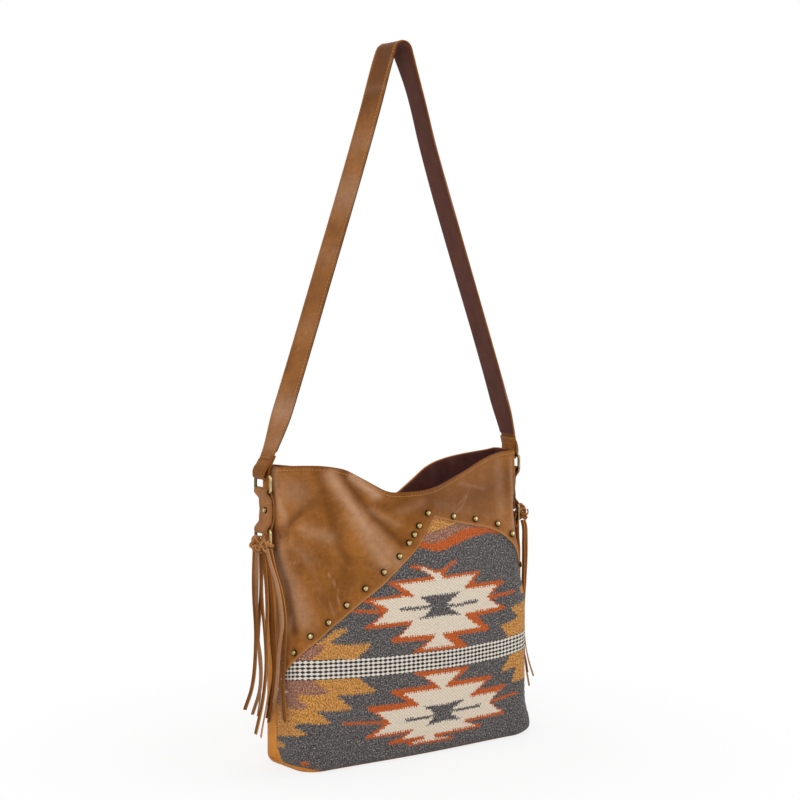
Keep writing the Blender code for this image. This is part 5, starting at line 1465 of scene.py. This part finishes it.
def paintLace(item, points, tone):
    # One cut edge is pale, a painted highlight; the other is dark, painted shade; the flesh side is dark too.
    edge, dark = np.zeros(points.shape[:2]), np.full(points.shape[:2], max(tone, 0.0))
    edge[:, otherEdge] = lace["paleEdge"]
    dark[:, oneEdge], dark[:, lowerSide] = lace["darkEdge"], max(tone, lace["fleshDark"])
    dark[:, otherEdge] = 0.0
    paint(item, "edge", edge)
    paint(item, "dark", dark)
    paint(item, "pale", np.full(edge.shape, max(-tone, 0.0)))


def buildTail(name, side, tail, tone, rng, body, node):
    height, out, along = np.array(tail, float).T * mm
    reach = bag["bodyWidth"] / 2 + side * bag["leanX"] + out
    line = smoothRoute(np.stack([side * reach, bag["strapY"] + along, height], -1), lace["spacing"])
    t = np.linspace(0, 1, len(line))
    line[:, 1] += lace["wave"] * np.sin(2 * math.pi * (lace["waveTurns"] * t + rng.random()))
    least, more = lace["twistGain"]
    gain = (least + more * rng.random()) * rng.choice(lace["twistWays"])
    sway = lace["sway"] * np.sin(lace["swayTurns"] * t + lace["swayPhase"] * rng.random())
    points, faces = ribbon(line, lace["twistStart"] + gain * t ** lace["twistEase"] + sway)
    item = addPiece(name, points, faces, tanLeather, body, [node], 60)
    paintLace(item, points, tone)


def buildTassel(name, side):
    bar = ringPivot(side, trim["lowerPivot"]) - (0.0, 0.0, trim["ringHeight"])
    body = f"{name}_tassel"
    rng = np.random.default_rng(12 + side)
    tones = iter(lace["tones"][name])
    for k, ends in enumerate(lace[name]):
        node = f"{name}_tassel_lace_{k + 1}"
        buildKnot(name, side, k, bar, body, node)
        for tail, which in zip(ends, ("Outer", "Inner")):
            buildTail(f"{name}Tail{k + 1}{which}", side, tail, next(tones), rng, body, node)


for side, name in bothSides:
    buildTassel(name, side)
print("tassels made")


# Stitches.
stitch = dict(
    length=2.9 * mm, pitch=4.0 * mm, radius=0.36 * mm, bulge=0.25, sides=6,
    # places along a thread, and its girth there
    shape=[(-1.0, 0.25), (-0.8, 0.8), (-0.3, 1.0), (0.3, 1.0), (0.8, 0.8), (1.0, 0.25)],
    off=0.05 * mm, rimBelow=4.6 * mm, seamEnd=0.03, strapIn=2.4 * mm, strapStart=2.2, tabIn=1.8 * mm,
    # rows across the strap's ends: height above the bar, and whether on the outer side
    across=[(0.0190, True), (0.0206, False), (0.0150, False)], acrossIn=2.0 * mm)


def stitchRow(line, outward):
    # Short rounded threads laid along a line, sunk a little into the surface.
    s = stitch
    far = np.concatenate([[0], np.cumsum(np.linalg.norm(np.diff(line, axis=0), axis=1))])
    turn = np.linspace(0, 2 * math.pi, s["sides"], endpoint=False)
    count = len(s["shape"]) * s["sides"]
    ends = (range(s["sides"]), range(count - 1, count - s["sides"] - 1, -1))
    threads = []

    def at(place, values):
        return np.array([np.interp(place, far, values[:, c]) for c in range(3)])

    for k in range(int(far[-1] / s["pitch"])):
        place = (k + 0.5) * s["pitch"]
        first, last = at(place - s["length"] / 2, line), at(place + s["length"] / 2, line)
        run = (last - first) / np.linalg.norm(last - first)
        across = np.cross(at(place, outward), run)
        across /= np.linalg.norm(across)
        out = np.cross(run, across)
        points = []
        for along, size in s["shape"]:
            centre = (first + last) / 2 + run * along * s["length"] / 2
            centre += out * s["radius"] * s["bulge"] * (1 - along * along)
            points += [centre + (across * math.cos(a) + out * math.sin(a)) * s["radius"] * size for a in turn]
        faces = gridFaces(len(s["shape"]), s["sides"], roundAlong=True) + [tuple(end) for end in ends]
        threads.append((points, faces))
    return threads


def addStitches(name, rows, body):
    points, faces = joined(thread for row in rows for thread in stitchRow(*row))
    addPiece(name, points, faces, tanThread, body, (), None)


def stitchRim():
    rows = []
    for start in (0, 5):
        way = np.linspace(start + stitch["seamEnd"], start + 5 - stitch["seamEnd"], 700)
        up = upAt(rimHeight(way)) - stitch["rimBelow"]
        rows.append((onWall(way, up, stitch["off"]), normals(way, up)))
    addStitches("rimStitches", rows, "bag")


def stitchStrap():
    s = stitch
    barZ = strapBar()[1]
    line = strapLine()[0]
    whole = np.stack([line[:, 0], np.full(len(line), bag["strapY"]), line[:, 1]], -1)
    path = whole[whole[:, 2] > trim["upperPivot"] + s["strapStart"] * trim["ringHeight"]]
    wide, deep = stripAxes(directions(path), strapTurn(path))
    half = (strapHalf(path[:, 2]) - s["strapIn"])[:, None]
    face = path - deep * (strap["leather"] / 2 + s["off"])
    rows = [(face + wide * edge * half, -deep) for edge in (-1, 1)]
    share = np.linspace(-1, 1, 24)[:, None]
    for side, _ in bothSides:
        limb = whole[whole[:, 0] * side > 0]
        limb = limb[np.argsort(limb[:, 2])]
        facing = np.cross((0.0, side, 0.0), directions(limb))
        for above, outer in s["across"]:
            z = barZ + above
            at, normal = (np.array([np.interp(z, limb[:, 2], values[:, c]) for c in range(3)])
                          for values in (limb, facing))
            away, off = normal, strap["leather"] / 2 + strap["ledgeHeight"]
            if not outer:
                away, off = -normal, 1.5 * strap["leather"] + bag["gap"]
            across = share * (strapHalf(z) - s["acrossIn"]) * (0.0, 1.0, 0.0)
            rows.append((at + across + away * (off + s["off"]), np.tile(away, (len(share), 1))))
    addStitches("strapStitches", rows, "strap")


def stitchTabs():
    share = np.linspace(-1, 1, 30)
    out = bag["mouthWidth"] / 2 + 2 * bag["gap"] + 2 * trim["tabLeather"] + trim["tabPuff"] + stitch["off"]
    y = share * (trim["tabHalf"] - stitch["tabIn"]) + bag["strapY"]
    for side, name in bothSides:
        rows = []
        for z in (trim["upperPivot"] - trim["tabEase"], trim["lowerPivot"] + trim["tabEase"]):
            line = np.stack([np.full(len(y), side * out), y, np.full(len(y), z)], -1)
            rows.append((line, np.tile([float(side), 0, 0], (len(y), 1))))
        addStitches(f"{name}TabStitches", rows, "bag")


stitchRim()
stitchStrap()
stitchTabs()
print("stitches made")


# Floor and light.
stage = dict(
    floorRadius=3.0, floorTone=0.90, shade=0.20, fadeFrom=0.20, fadeTo=0.5, world=0.50, aim=(0, 0, 0.25),
    # place, size in metres and power in watts
    lamps=[("keyLamp", (-2.3, -2.2, 1.7), 1.6, 47.0), ("fillLamp", (2.9, -0.9, 1.0), 1.6, 23.5),
           ("topLamp", (0.2, 0.3, 2.8), 1.4, 18.0)])


def buildFloor():
    # White to the camera, apart from a share of its shading close to the bag.
    f = Finish("floor")
    mesh = bpy.data.meshes.new("floor")
    turn = np.linspace(0, 2 * math.pi, 64, endpoint=False)
    rim = [(stage["floorRadius"] * math.cos(a), stage["floorRadius"] * math.sin(a), 0.0) for a in turn]
    mesh.from_pydata(rim, [], [tuple(range(len(rim)))])
    floor = bpy.data.objects.new("floor", mesh)
    bpy.context.scene.collection.objects.link(floor)
    far = f.node("VectorMath", {"operation": "LENGTH"}, {0: f.here()}, "Value")
    fade = f.spread(far, stage["fadeFrom"], stage["fadeTo"])
    plain = f.node("BsdfDiffuse", {}, {"Color": (stage["floorTone"],) * 3 + (1.0,)}, "BSDF")
    white = f.node("Emission", {}, {"Strength": 1.0}, "Emission")
    shaded = f.node("MixShader", {}, {0: stage["shade"], 1: white, 2: plain}, "Shader")
    shown = f.node("MixShader", {}, {0: fade, 1: shaded, 2: white}, "Shader")
    f.show(f.node("MixShader", {}, {0: f.seen(), 1: plain, 2: shown}, "Shader"), "Material Output")
    mesh.materials.append(f.material)


def buildLight():
    # A plain studio: a white backdrop to the camera, and an even light on the bag.
    world = bpy.data.worlds.new("studio")
    bpy.context.scene.world = world
    world.use_nodes = True
    n = Nodes(world.node_tree)
    n.tree.nodes.remove(n.tree.nodes["Background"])
    light, backdrop = (n.node("Background", {}, {"Color": (1, 1, 1, 1), "Strength": strength}, "Background")
                       for strength in (stage["world"], 1.0))
    n.show(n.node("MixShader", {}, {0: n.seen(), 1: light, 2: backdrop}, "Shader"), "World Output")
    for name, spot, size, power in stage["lamps"]:
        data = bpy.data.lights.new(name, "AREA")
        data.size, data.energy = size, power
        lamp = bpy.data.objects.new(name, data)
        lamp.location = spot
        lamp.rotation_mode = "QUATERNION"
        lamp.rotation_quaternion = (Vector(spot) - Vector(stage["aim"])).to_track_quat("Z", "Y")
        bpy.context.scene.collection.objects.link(lamp)


buildFloor()
buildLight()
print("stage made")
